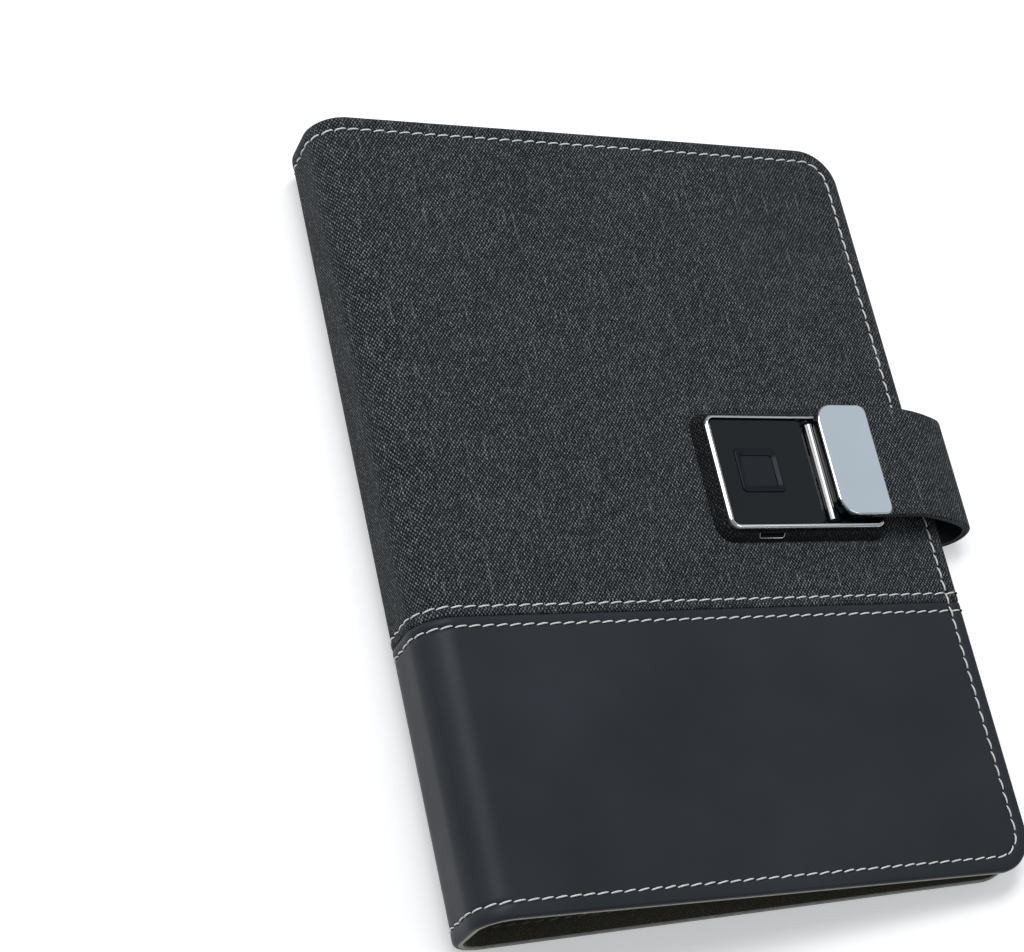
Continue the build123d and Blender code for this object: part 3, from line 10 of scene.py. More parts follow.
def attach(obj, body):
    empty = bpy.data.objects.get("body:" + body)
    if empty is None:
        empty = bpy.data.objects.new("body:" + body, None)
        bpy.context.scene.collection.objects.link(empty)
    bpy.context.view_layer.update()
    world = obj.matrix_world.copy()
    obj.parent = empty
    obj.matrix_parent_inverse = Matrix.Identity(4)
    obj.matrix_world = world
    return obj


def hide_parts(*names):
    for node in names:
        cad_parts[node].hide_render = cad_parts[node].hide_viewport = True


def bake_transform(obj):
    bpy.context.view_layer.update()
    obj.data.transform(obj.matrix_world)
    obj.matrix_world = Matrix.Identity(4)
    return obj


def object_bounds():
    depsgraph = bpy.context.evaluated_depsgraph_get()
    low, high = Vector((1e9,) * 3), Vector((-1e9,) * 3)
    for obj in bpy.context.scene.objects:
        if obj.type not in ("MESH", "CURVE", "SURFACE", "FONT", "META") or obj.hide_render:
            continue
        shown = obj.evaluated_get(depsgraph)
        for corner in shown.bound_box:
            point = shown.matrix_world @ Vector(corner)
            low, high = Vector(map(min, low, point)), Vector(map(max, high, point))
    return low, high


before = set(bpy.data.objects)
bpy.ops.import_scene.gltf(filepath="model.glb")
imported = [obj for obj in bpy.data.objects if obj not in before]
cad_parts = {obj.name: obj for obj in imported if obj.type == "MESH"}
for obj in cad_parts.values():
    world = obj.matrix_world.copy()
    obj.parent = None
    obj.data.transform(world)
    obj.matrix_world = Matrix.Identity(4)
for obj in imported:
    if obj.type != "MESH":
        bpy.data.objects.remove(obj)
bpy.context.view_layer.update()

MM = 0.001

# ---------------------------------------------------------------- sizes from the CAD, in mm
SPINE_X = -85.75
SPINE_DEPTH = 31.72464
SLOPE = math.radians(7.37147076)
COS, SIN = math.cos(SLOPE), math.sin(SLOPE)
LOWER_BEND = 11.0
LOWER_CENTRE = (SPINE_X + LOWER_BEND, LOWER_BEND)
UPPER_BEND = 9.5
UPPER_CENTRE = (SPINE_X + UPPER_BEND, SPINE_DEPTH - UPPER_BEND * (SIN + 1) / COS)
UPPER_TURN = math.pi / 2 + SLOPE
HEAD, TAIL = 115.0, -115.0
SEAM = TAIL + 79.8
CORNER = 12.0
SKIN, CORE, LINING = 1.2, 1.2, 0.8
COVER = SKIN + CORE + LINING
ROLL = 1.05  # radius of the rolled rim
FRONT_WIDTH, BACK_WIDTH = 175.0, 171.5  # from the spine's outer face to each fore-edge

HALF_SPINE = (UPPER_CENTRE[1] - LOWER_CENTRE[1]) / 2
UPPER_ARC = UPPER_BEND * UPPER_TURN
LOWER_ARC = LOWER_BEND * math.pi / 2
FRONT_TANGENT = UPPER_BEND * math.tan(UPPER_TURN / 2)
# Distances along the outer face, from the middle of the spine to each fore-edge
FRONT_LENGTH = HALF_SPINE + UPPER_ARC + FRONT_WIDTH - FRONT_TANGENT
BACK_LENGTH = HALF_SPINE + LOWER_ARC + BACK_WIDTH - LOWER_BEND

FRONT, BACK = 1, -1
LENGTH = {FRONT: FRONT_LENGTH, BACK: BACK_LENGTH}

LOCK_ALONG, LOCK_RISE = 126.375, 3.95
LOCK_S = FRONT_LENGTH - FRONT_WIDTH + LOCK_ALONG
LOCK_LENGTH, LOCK_WIDTH, LOCK_CORNER = 53.25, 34.9, 3.0
WINDOW_LENGTH, WINDOW_WIDTH = 51.05, 32.7
SOCKET_P = -12.175

STITCH_PITCH = 4.0
EDGE_ROW = 4.2  # edge stitching in from the cover's edge
SEAM_ROWS = (2.6, -2.8)  # rows of stitching each side of the seam
LINING_ROW = 4.9
THREAD, LINING_THREAD = 0.50, 0.6

WAVE = 0.16  # how far the front cover waves in and out
GRID = 5.0  # the widest cell of a cover's grid


# ---------------------------------------------------------------- the cover's outer face
def cover_face(side, s):
    """Point and outward normal in XZ at a distance s from the middle of the spine, round one fold."""
    s = np.asarray(s, float)
    bend = UPPER_BEND if side == FRONT else LOWER_BEND
    centre = UPPER_CENTRE if side == FRONT else LOWER_CENTRE
    turn = UPPER_TURN if side == FRONT else math.pi / 2
    angle = np.clip((s - HALF_SPINE) / bend, 0, turn)
    around = math.pi - side * angle
    normal = np.stack([np.cos(around), np.sin(around)], -1)
    point = np.array(centre) + bend * normal
    point[..., 1] += side * np.minimum(s - HALF_SPINE, 0)
    last = math.pi - side * turn
    along = side * np.array([math.sin(last), -math.cos(last)])
    point = point + np.maximum(s - HALF_SPINE - bend * turn, 0)[..., None] * along
    return point, normal


def softness(side, s, y):
    """Slight waviness of the front cover, in mm outwards; the back cover lies flat on the table."""
    if side == BACK:
        return np.zeros(np.broadcast(s, y).shape)
    wave = WAVE * np.sin(s / 31.0 + 1.3 * np.sin(y / 47.0)) * np.sin(y / 39.0 + 0.8)
    fade = np.clip((s - HALF_SPINE) / UPPER_ARC, 0, 1) * np.clip((FRONT_LENGTH - s) / 25.0, 0, 1)
    near_lock = np.exp(-(((s - LOCK_S) / 36.0) ** 4) - (((y - LOCK_RISE) / 30.0) ** 4))
    return wave * fade * (1 - near_lock)


def on_cover(side, s, y, depth):
    """Points in 3-D, in metres, at a depth under the cover's outer face."""
    s, y, depth = np.broadcast_arrays(s, y, depth)
    point, normal = cover_face(side, s)
    place = point - (depth - softness(side, s, y))[..., None] * normal
    return np.stack([place[..., 0], y, place[..., 1]], -1) * MM


def spread(start, end, step):
    """Evenly spaced values from start to end, about a step apart, without the end."""
    count = max(1, round(abs(end - start) / step))
    return list(np.linspace(start, end, count, endpoint=False))


# Distances of the grid lines from an edge and from the seam, close together where the skin is shaped
EDGE_LINES = [CORNER, 10.0, 8.0, 6.6, 5.6, 5.0, 4.6, 4.35, 4.1, 3.85, 3.5, 2.9, 2.2, 1.6, ROLL,
              0.7, 0.42, 0.2, 0.07, 0]
SEAM_LINES = [0, 0.06, 0.2, 0.42, 0.7, 1.1, 1.6, 2.1, 2.35, 2.6, 2.85, 3.1, 3.6, 4.4, 6.0]


def along_lines(side):
    """Grid lines from the middle of the spine to the fore-edge, with two at the lock's window."""
    bend = UPPER_ARC if side == FRONT else LOWER_ARC
    lines = spread(0, HALF_SPINE, 2.5) + spread(HALF_SPINE, HALF_SPINE + bend, 1.1)
    stops = [HALF_SPINE + bend]
    if side == FRONT:
        stops += [LOCK_S - WINDOW_LENGTH / 2, LOCK_S + WINDOW_LENGTH / 2 - 0.001]
    stops.append(LENGTH[side] - CORNER)
    for start, end in zip(stops, stops[1:]):
        lines += spread(start, end, GRID)
    return np.array(lines + [LENGTH[side] - d for d in EDGE_LINES])


def across_lines(low, high):
    """Grid lines across the cover, close together at its head and tail edges and at the seam."""
    tail = [TAIL + d for d in reversed(EDGE_LINES)] if low == TAIL else [low + d for d in SEAM_LINES]
    head = [HEAD - d for d in EDGE_LINES] if high == HEAD else [high - d for d in reversed(SEAM_LINES)]
    stops = [tail.pop(), head[0]]
    window = [LOCK_RISE - WINDOW_WIDTH / 2, LOCK_RISE + WINDOW_WIDTH / 2]
    stops = sorted(stops + [y for y in window if low < y < high])
    middle = []
    for start, end in zip(stops, stops[1:]):
        middle += spread(start, end, GRID)
    return np.array(tail + middle + head)


def rounded_corners(side, s, y):
    """Bends a grid's square corners into the cover's round ones.

    Also gives each point's distance from the edge.
    """
    in_s = LENGTH[side] - s
    in_y = np.minimum(HEAD - y, y - TAIL)
    distance = np.minimum(in_s, in_y)
    a, b = 1 - in_s / CORNER, 1 - in_y / CORNER
    corner = (a > 0) & (b > 0)
    a, b = np.where(corner, a, 1.0), np.where(corner, b, 1.0)
    radius = np.maximum(a, b)
    angle = np.where(a >= b, math.pi / 4 * b / a, math.pi / 2 - math.pi / 4 * a / b)
    new_s = LENGTH[side] - CORNER + CORNER * radius * np.cos(angle)
    new_y = np.sign(y) * (HEAD - CORNER + CORNER * radius * np.sin(angle))
    edge = np.where(corner, CORNER * (1 - radius), distance)
    return np.where(corner, new_s, s), np.where(corner, new_y, y), edge


def roll_depth(distance, radius):
    """How far the outer face turns down towards a rolled rim."""
    short = np.clip(radius - distance, 0, radius)
    return radius - np.sqrt(radius ** 2 - short ** 2)


def channel(distance, depth=0.34, width=0.5):
    """Groove that a row of stitching pulls into the surface."""
    return depth * np.exp(-((distance / width) ** 2))


PUFF = 0.16  # how far the skin swells between its stitches and its rim or seam


def skin_relief(edge, y):
    """Depth of the outer face: rolled rim, stitched channels, and the dip where fabric meets leather."""
    off_seam = y - SEAM
    by_edge = np.exp(-(((edge - 2.2) / 1.3) ** 2))
    by_seam = np.exp(-(((np.abs(off_seam) - 1.4) / 0.8) ** 2))
    pad = -PUFF * (by_edge + by_seam)
    rows = channel(edge - EDGE_ROW) + sum(channel(off_seam - row) for row in SEAM_ROWS)
    return roll_depth(edge, ROLL) + roll_depth(np.abs(off_seam), 0.55) * 1.1 + rows + pad


# ---------------------------------------------------------------- mesh helpers
def mesh_object(name, points, faces, uv=None, material=None, sharp=55):
    """A smooth-shaded mesh from points in metres; uv is one pair per point, in mm."""
    mesh = bpy.data.meshes.new(name)
    mesh.from_pydata(np.asarray(points, float).reshape(-1, 3).tolist(), [], faces)
    if uv is not None:
        layer = mesh.uv_layers.new(name="cloth")
        corner_vertex = np.zeros(len(mesh.loops), int)
        mesh.loops.foreach_get("vertex_index", corner_vertex)
        layer.data.foreach_set("uv", np.asarray(uv, np.float32)[corner_vertex].ravel())
    mesh.validate()
    fixer = bmesh.new()
    fixer.from_mesh(mesh)
    bmesh.ops.recalc_face_normals(fixer, faces=fixer.faces)
    fixer.to_mesh(mesh)
    fixer.free()
    mesh.shade_smooth()
    mesh.set_sharp_from_angle(angle=math.radians(sharp))
    if material:
        mesh.materials.append(material)
    made = bpy.data.objects.new(name, mesh)
    bpy.context.scene.collection.objects.link(made)
    return made


def grid_faces(rows, columns, offset=0, skip=None):
    """Quads of a grid of points; skip is a set of cells left out."""
    faces = []
    for i in range(rows - 1):
        for j in range(columns - 1):
            if skip is None or (i, j) not in skip:
                a = offset + i * columns + j
                faces.append((a, a + 1, a + columns + 1, a + columns))
    return faces


def slab(outer, inner, skip=None):
    """Points and faces of a closed sheet; skip is a rectangle of its cells that is cut out."""
    rows, columns = outer.shape[:2]
    points = np.concatenate([outer.reshape(-1, 3), inner.reshape(-1, 3)])
    half = rows * columns
    faces = grid_faces(rows, columns, 0, skip) + grid_faces(rows, columns, half, skip)
    loops = [[i * columns for i in range(rows)]
             + [(rows - 1) * columns + j for j in range(1, columns)]
             + [i * columns + columns - 1 for i in range(rows - 2, -1, -1)]
             + list(range(columns - 2, -1, -1))]
    if skip:
        low_i, low_j = map(min, zip(*skip))
        high_i, high_j = (n + 1 for n in map(max, zip(*skip)))
        loops.append([low_i * columns + j for j in range(low_j, high_j)]
                     + [i * columns + high_j for i in range(low_i, high_i)]
                     + [high_i * columns + j for j in range(high_j, low_j, -1)]
                     + [i * columns + low_j for i in range(high_i, low_i - 1, -1)])
    for rim in loops:
        faces += [(a, b, b + half, a + half) for a, b in zip(rim, rim[1:])]
    return points, faces


def cover_sheet(name, side, low, high, outer, inner, material, inset=0.0, relief=None):
    """One layer of half the cover, from the middle of the spine round a fold to the fore-edge."""
    s, y = np.meshgrid(along_lines(side), across_lines(low, high), indexing="ij")
    skip = set()
    if side == FRONT and outer < COVER - LINING - 0.01:
        in_length = abs(s[:-1, :-1] + s[1:, 1:] - 2 * LOCK_S) < WINDOW_LENGTH
        in_width = abs(y[:-1, :-1] + y[1:, 1:] - 2 * LOCK_RISE) < WINDOW_WIDTH
        skip = set(zip(*np.nonzero(in_length & in_width)))
    s, y, edge = rounded_corners(side, s, y)
    pulled_s = s - inset * np.clip(1 - edge / CORNER, 0, 1) * (LENGTH[side] - s < CORNER + 1)
    pulled_y = y - inset * np.sign(y) * np.clip(1 - np.minimum(HEAD - y, y - TAIL) / CORNER, 0, 1)
    depth = outer + (relief(edge, y) if relief else 0 * edge)
    face, back = (on_cover(side, pulled_s, pulled_y, d) for d in (depth, inner))
    points, faces = slab(face, back, skip)
    uv = np.stack([side * s, y], -1).reshape(-1, 2)
    return mesh_object(name, points, faces, np.concatenate([uv, uv]), material)


# ---------------------------------------------------------------- thread
def path_lengths(path):
    return np.concatenate([[0], np.cumsum(np.linalg.norm(np.diff(path, axis=0), axis=1))])


def along_path(path, at):
    """Points at distances along a 2-D path."""
    lengths = path_lengths(path)
    return np.stack([np.interp(at, lengths, path[:, k]) for k in (0, 1)], -1)


DASH = 0.86  # a stitch's length against the pitch
SLANT = 0.22  # how far a stitch leans off its row at each end
SUNK = 0.42  # how deep a stitch's ends sit


def sewn_row(paths, place, thread, seed, rise=0.5):
    """Points and faces of a row of stitches, and the points of its needle holes.

    place(u, v, height) turns a point of the flat paths into 3-D points in metres.
    """
    chance = random.Random(seed)
    points, faces, holes = [], [], []
    sides, rings = 8, 9
    t = np.linspace(0, 1, rings)
    for path in paths:
        total = path_lengths(path)[-1]
        count = max(1, round(total / STITCH_PITCH))
        step = total / count
        for i in range(count):
            start = (i + (1 - DASH) / 2 + chance.uniform(-0.02, 0.02)) * step
            at = start + t * DASH * step
            line = along_path(path, at)
            ahead = along_path(path, at + 0.05) - along_path(path, at - 0.05)
            ahead /= np.maximum(np.linalg.norm(ahead, axis=1), 1e-9)[:, None]
            aside = np.stack([-ahead[:, 1], ahead[:, 0]], -1)
            lean = SLANT * (1 + chance.uniform(-0.3, 0.3))
            line = line + aside * (lean * (2 * t - 1))[:, None]
            height = -SUNK + rise * np.sin(math.pi * t) ** 0.55
            radius = thread / 2 * (0.62 + 0.38 * np.sin(math.pi * np.clip(t, 0.06, 0.94)) ** 0.5)
            ring = []
            for k in range(sides):
                turn = 2 * math.pi * k / sides
                offset = line + aside * (radius * math.cos(turn))[:, None]
                ring.append(place(offset[:, 0], offset[:, 1], height + radius * math.sin(turn)))
            base = sum(len(p) for p in points)
            points.append(np.stack(ring, 1).reshape(-1, 3))
            for r in range(rings - 1):
                for k in range(sides):
                    a, b = base + r * sides + k, base + r * sides + (k + 1) % sides
                    faces.append((a, b, b + sides, a + sides))
            faces.append(tuple(base + k for k in range(sides)))
            faces.append(tuple(base + (rings - 1) * sides + k for k in range(sides)))
            holes.append(along_path(path, np.array([i * step]))[0])
        holes.append(path[-1])
    return np.concatenate(points), faces, np.array(holes)


MARK_SIZE, MARK_RIM, MARK_MIDDLE = 0.62, -0.22, -0.36  # a needle hole's radius and its two heights


def hole_marks(holes, place):
    """Small sunk discs where the needle went in, near-black: painted shade in the holes."""
    points, faces = [], []
    sides = 10
    for n, (u, v) in enumerate(holes):
        turn = np.linspace(0, 2 * math.pi, sides, endpoint=False)
        ring_u, ring_v = u + MARK_SIZE * np.cos(turn), v + MARK_SIZE * 0.8 * np.sin(turn)
        ring = place(ring_u, ring_v, np.full(sides, MARK_RIM))
        middle = place(np.array([u]), np.array([v]), np.array([MARK_MIDDLE]))
        points.append(np.concatenate([ring, middle]))
        base = n * (sides + 1)
        faces += [(base + k, base + (k + 1) % sides, base + sides) for k in range(sides)]
    return np.concatenate(points), faces


def edge_path(side, inset):
    """Path of the edge stitching on half the cover, from the spine round both corners and back."""
    radius = CORNER - inset
    far, top = LENGTH[side] - inset, HEAD - inset
    turn = np.linspace(math.pi / 2, 0, 24)
    arc = np.stack([far - radius + radius * np.cos(turn), top - radius + radius * np.sin(turn)], -1)
    upper = np.concatenate([[[0.0, top]], arc])
    lower = upper[::-1] * [1, -1]
    return np.concatenate([upper, lower])


def cover_rows(name, side, paths, thread, material, inside=False, **sewing):
    """Stitches and needle holes on one face of half the cover."""
    def place(u, v, height):
        return on_cover(side, u, v, COVER + height if inside else -height)

    points, faces, holes = sewn_row(paths, place, thread, **sewing)
    marks, mark_faces = hole_marks(holes, place)
    row = mesh_object(name, points, faces, material=material)
    for piece in (row, mesh_object(name + "_holes", marks, mark_faces, material=HOLE_SHADE)):
        fold_blend(piece, side)


# ---------------------------------------------------------------- materials
class Nodes:
    """Short calls to build a node tree."""

    def __init__(self, tree):
        self.tree = tree

    def node(self, kind, *inputs, **settings):
        made = self.tree.nodes.new(kind)
        for key, value in settings.items():
            setattr(made, key, value)
        for index, value in enumerate(inputs):
            self.plug(made.inputs[index], value)
        return made

    def plug(self, socket, value):
        if isinstance(value, bpy.types.Node):
            value = value.outputs[0]
        if isinstance(value, bpy.types.NodeSocket):
            self.tree.links.new(value, socket)
        elif value is not None:
            socket.default_value = value

    def math(self, operation, *inputs, clamp=False):
        return self.node("ShaderNodeMath", *inputs, operation=operation, use_clamp=clamp)

    def add(self, first, *rest):
        for value in rest:
            first = self.math("ADD", first, value)
        return first

    def times(self, first, second, clamp=False):
        return self.math("MULTIPLY", first, second, clamp=clamp)

    def either_side(self, factor, amount):
        """A factor about a half turned into a value about zero."""
        return self.times(self.math("SUBTRACT", factor, 0.5), amount)

    def smooth_step(self, value, low, high):
        made = self.node("ShaderNodeMapRange", value, interpolation_type="SMOOTHSTEP")
        made.inputs["From Min"].default_value = low
        made.inputs["From Max"].default_value = high
        return made

    def ramp(self, factor, stops):
        made = self.node("ShaderNodeValToRGB", factor)
        points = made.color_ramp.elements
        while len(points) < len(stops):
            points.new(1.0)
        for point, (place, color) in zip(points, stops):
            point.position = place
            point.color = (*color, 1)
        return made

    def shades(self, factor, color, low, high, start=0.3, end=0.7):
        """A ramp between two shades of one colour."""
        stops = ((start, low), (end, high))
        return self.ramp(factor, [(place, tuple(c * share for c in color)) for place, share in stops])

    def mix(self, factor, a, b, blend="MIX"):
        made = self.node("ShaderNodeMix", data_type="RGBA", blend_type=blend)
        self.plug(made.inputs[0], factor)
        self.plug(made.inputs[6], (*a, 1) if isinstance(a, tuple) else a)
        self.plug(made.inputs[7], (*b, 1) if isinstance(b, tuple) else b)
        return made.outputs[2]

    def noise(self, vector, scale, detail=2.0, rough=0.5):
        made = self.node("ShaderNodeTexNoise", vector)
        made.inputs["Scale"].default_value = scale
        made.inputs["Detail"].default_value = detail
        made.inputs["Roughness"].default_value = rough
        return made

    def join(self, x, y):
        return self.node("ShaderNodeCombineXYZ", x, y)

    def stretched(self, vector, by):
        return self.node("ShaderNodeVectorMath", vector, by, operation="MULTIPLY").outputs[0]


class Finish(Nodes):
    """A material, its shader, and the coordinates that its other nodes start from."""

    def __init__(self, name, **values):
        self.material = bpy.data.materials.new(name)
        self.material.use_nodes = True
        super().__init__(self.material.node_tree)
        self.shader = self.tree.nodes["Principled BSDF"]
        for socket, value in values.items():
            self.shader.inputs[socket.replace("_", " ")].default_value = value

    def uv(self):
        """Distances across and along the cloth, in mm."""
        cloth = self.node("ShaderNodeUVMap", uv_map="cloth")
        return self.node("ShaderNodeSeparateXYZ", cloth).outputs[:2]

    def place(self):
        """The object's own coordinates, in mm."""
        return self.stretched(self.node("ShaderNodeTexCoord").outputs["Object"], (1 / MM, 1 / MM, 1 / MM))

    def bump(self, height, strength, distance, normal=None):
        made = self.node("ShaderNodeBump")
        made.inputs["Strength"].default_value = strength
        made.inputs["Distance"].default_value = distance
        self.plug(made.inputs["Height"], height)
        if normal:
            self.plug(made.inputs["Normal"], normal)
        return made.outputs[0]

    def finish(self, color=None, roughness=None, normal=None):
        for socket, value in (("Base Color", color), ("Roughness", roughness), ("Normal", normal)):
            if value is not None:
                self.plug(self.shader.inputs[socket], value)
        return self.material


FLOAT_LENGTH = 1.25  # a warp float's length against its width
YARN_SWAY = 1.4  # how far the yarns wander together, in yarn widths
SHAKE_ACROSS, SHAKE_ALONG = 0.9, 1.8  # how far a float sits off its place, in yarn widths
YARN_STEP = 7.31  # keeps the shades of neighbouring yarns unlike
STREAK = 10.0  # how slowly a yarn's shade changes along it, in mm
THICK_FROM, THICK_RISE = 0.66, 16.0  # where a yarn counts as thick, and how sharply


def woven(name, pitch, dark, light, dots=0.28, speckle=0.48, slub=0.45, ground=0.0):
    """Plain weave of melange yarns a pitch apart.

    Warp floats are light and long, and no two are alike. Here and there a thick stretch of
    warp shows as a brighter line.
    """
    f = Finish(name, Roughness=0.9, Sheen_Weight=0.03, Sheen_Roughness=0.45, Specular_IOR_Level=0.1)
    across, along = f.uv()
    spot = f.join(across, along)
    sway = f.times(f.noise(spot, 0.09, 1.0), YARN_SWAY)
    shake = f.node("ShaderNodeSeparateXYZ", f.noise(spot, 0.9, 2.0).outputs["Color"]).outputs
    u = f.add(f.math("DIVIDE", across, pitch), f.add(sway, f.times(shake[0], SHAKE_ACROSS)))
    v = f.add(f.math("DIVIDE", along, FLOAT_LENGTH * pitch), f.add(sway, f.times(shake[1], SHAKE_ALONG)))
    yarn_u, yarn_v = f.math("FLOOR", u), f.math("FLOOR", v)
    warp_on_top = f.math("MODULO", f.math("ABSOLUTE", f.add(yarn_u, yarn_v)), 2.0)
    round_u = f.math("SINE", f.times(f.math("FRACT", u), math.pi))
    round_v = f.math("SINE", f.times(f.math("FRACT", v), math.pi))
    height = f.times(f.math("POWER", round_u, 1.3), f.math("POWER", round_v, 0.6))

    along_warp = f.join(f.times(yarn_u, YARN_STEP), f.math("DIVIDE", along, STREAK))
    drift = f.either_side(f.noise(along_warp, 1.0, 3.0, 0.65), 0.4 * slub)
    over = f.math("SUBTRACT", f.noise(along_warp, 1.0, 0.5), THICK_FROM, clamp=True)
    thick = f.times(over, THICK_RISE * slub, clamp=True)
    fleck = f.node("ShaderNodeTexWhiteNoise", f.join(yarn_u, yarn_v), noise_dimensions="2D")
    speck = f.times(f.math("POWER", fleck, 1.6), speckle)
    cloud = f.either_side(f.noise(spot, 0.035, 2.0), 0.15)
    vary = f.add(drift, cloud, speck)
    bright = f.add(vary, f.times(thick, 0.30), dots)
    dim = f.add(f.times(vary, 0.12), f.add(f.times(thick, 0.28), ground))
    value = f.node("ShaderNodeMix", warp_on_top, None, dim, bright, data_type="FLOAT")
    tone = f.ramp(value, [(0.0, dark), (1.0, light)])
    # Painted shade: the colour darkens towards the gaps between yarns, down to about an eighth of its tone
    groove = f.add(0.12, f.times(height, 0.88))
    return f.finish(f.mix(1.0, tone, groove, "MULTIPLY"), normal=f.bump(height, 0.3, 0.0003))


def leather(name, color, roughness=0.42, grain=0.55):
    """Smooth coated leather with a fine pebble and faint cloudy wear."""
    f = Finish(name, Specular_IOR_Level=0.12)
    place = f.place()
    pebble = f.node("ShaderNodeTexVoronoi", place, feature="SMOOTH_F1")
    pebble.inputs["Scale"].default_value = 1.0 / grain
    tone = f.shades(f.noise(place, 0.028, 3.0), color, 0.86, 1.12)
    gloss = f.add(roughness - 0.05, f.times(f.noise(place, 0.11, 4.0), 0.12))
    fine = f.bump(f.noise(place, 3.2, 2.0), 0.06, 0.0001)
    return f.finish(tone, gloss, f.bump(pebble, 0.10, 0.00012, fine))


def plated(name, color, roughness=0.05):
    """Bright plating with the faint unevenness of a polished casting."""
    f = Finish(name, Metallic=1.0)
    place = f.place()
    tone = f.shades(f.noise(place, 0.05, 2.0), color, 0.97, 1.0)
    smear = f.add(roughness, f.times(f.noise(place, 0.35, 5.0, 0.7), 0.05))
    return f.finish(tone, smear, f.bump(f.noise(place, 0.12, 1.0), 0.02, 0.0004))


def brushed(name, color, roughness=0.32, stretch=(1, 18, 1)):
    """Sheet steel with drawn marks along one way."""
    f = Finish(name, Metallic=1.0)
    marks = f.noise(f.stretched(f.place(), tuple(1 / s for s in stretch)), 6.0, 3.0)
    tone = f.shades(marks, color, 0.85, 1.0, end=0.75)
    return f.finish(tone, f.add(roughness, f.times(marks, 0.12)), f.bump(marks, 0.05, 0.00005))


def moulded(name, color, roughness, specular=0.5, texture=0.03, **values):
    """Moulded plastic; texture is the strength of its spark-eroded surface."""
    f = Finish(name, Specular_IOR_Level=specular, **values)
    place = f.place()
    tone = f.shades(f.noise(place, 0.07, 2.0), color, 0.9, 1.1)
    gloss = f.add(roughness, f.times(f.noise(place, 0.5, 4.0), 0.05))
    return f.finish(tone, gloss, f.bump(f.noise(place, 5.0, 2.0), texture, 0.00008))


def thread_finish(name, color):
    """Twisted sewing thread with a slight lustre; its colour darkens in the twist's hollows, painted shade.
    """
    f = Finish(name, Roughness=0.6, Sheen_Weight=0.25, Specular_IOR_Level=0.35)
    twist = f.node("ShaderNodeTexWave", f.place(), wave_type="BANDS", bands_direction="DIAGONAL")
    twist.inputs["Scale"].default_value = 0.8
    bands = twist.outputs["Fac"]
    # The colour darkens where the twist's bump dips: painted shade
    return f.finish(f.shades(bands, color, 0.72, 1.0, 0.2, 0.8), normal=f.bump(bands, 0.5, 0.0001))


def board_edge(name, color):
    """Cut grey board: short fibres running along the edge."""
    f = Finish(name, Roughness=0.8, Specular_IOR_Level=0.25)
    fibre = f.noise(f.stretched(f.place(), (0.35, 0.35, 4.0)), 1.2, 4.0, 0.7)
    return f.finish(f.shades(fibre, color, 0.72, 1.15), normal=f.bump(fibre, 0.3, 0.0002))


RULE_PITCH = 7.0  # between the lines on a leaf
RULE_HALF = 0.014  # half a line's width against the pitch
RULED_AREA = ((1, -88.0, 84.0), (0, -46.0, 72.0))  # axis, and the lines' two ends along it
RULE_SHIFT = 500.0  # keeps the distance along the leaf above zero


def ruled_paper(name, color, line):
    """Uncoated writing paper: pale ruled lines a fixed distance apart, inside the margins."""
    f = Finish(name, Roughness=0.9, Specular_IOR_Level=0.2)
    uv = f.uv()
    fibre = f.noise(f.place(), 0.9, 5.0, 0.7)
    row = f.math("FRACT", f.math("DIVIDE", f.add(uv[1], RULE_SHIFT), RULE_PITCH))
    drawn = f.math("LESS_THAN", f.math("ABSOLUTE", f.math("SUBTRACT", row, 0.5)), RULE_HALF)
    for axis, low, high in RULED_AREA:
        drawn = f.times(drawn, f.math("GREATER_THAN", uv[axis], low))
        drawn = f.times(drawn, f.math("LESS_THAN", uv[axis], high))
    return f.finish(f.mix(drawn, f.shades(fibre, color, 0.94, 1.0), line), normal=f.bump(fibre, 0.08, 0.0001))


YARN, LINING_YARN = 0.54, 0.40  # yarn widths, in mm
FABRIC = woven("fabric_melange", YARN, (0.008, 0.0102, 0.0130), (0.300, 0.325, 0.345))
# A darker copy of the cover fabric for the surround's steep wall: painted shade
SURROUND_PAINTED_SHADE = woven("surround_painted_shade", YARN, (0.005, 0.0062, 0.0078), (0.075, 0.081, 0.087))
LINING_CLOTH = woven("lining_cloth", LINING_YARN, (0.045, 0.043, 0.032), (0.215, 0.200, 0.152),
                     dots=0.45, speckle=0.4, slub=0.2, ground=0.3)
STRAP_INSIDE = moulded("strap_inside", (0.012, 0.012, 0.013), 0.6, 0.3, texture=0.2)
LEATHER = leather("leather_navy", (0.0235, 0.0272, 0.0335))
BOARD_EDGE = board_edge("board_edge", (0.42, 0.42, 0.38))
STRAP_EDGE = board_edge("strap_edge", (0.045, 0.048, 0.05))
WHITE_THREAD = thread_finish("thread_white", (0.80, 0.81, 0.82))
OLIVE_THREAD = thread_finish("thread_olive", (0.115, 0.105, 0.075))
# Near-black for needle holes and the socket slot's walls: painted shade in the holes
HOLE_SHADE = moulded("hole_shade", (0.004, 0.004, 0.005), 0.9, 0.1)
CHROME = plated("chrome", (0.80, 0.81, 0.83))
DARK_CHROME = plated("dark_chrome", (0.16, 0.165, 0.17), 0.08)
CLASP_METAL = plated("clasp_metal", (0.70, 0.75, 0.80), 0.10)
STEEL = brushed("sprung_steel", (0.55, 0.56, 0.58))
BRASS = brushed("brass", (0.62, 0.46, 0.20), 0.25)
GLOSS = moulded("gloss_black", (0.0025, 0.0042, 0.0060), 0.03, 0.28, texture=0.0)
BAR_GLOSS = moulded("bar_gloss", (0.002, 0.003, 0.004), 0.06, 0.7, texture=0.0, IOR=1.9)
BEZEL = moulded("bezel_black", (0.007, 0.0095, 0.0135), 0.34, 0.14)
SENSOR = moulded("sensor_face", (0.0045, 0.007, 0.011), 0.2, 0.28)
TRAY = moulded("tray_black", (0.012, 0.012, 0.013), 0.55, 0.4, texture=0.15)
CIRCUIT = moulded("circuit_laminate", (0.012, 0.075, 0.032), 0.35)
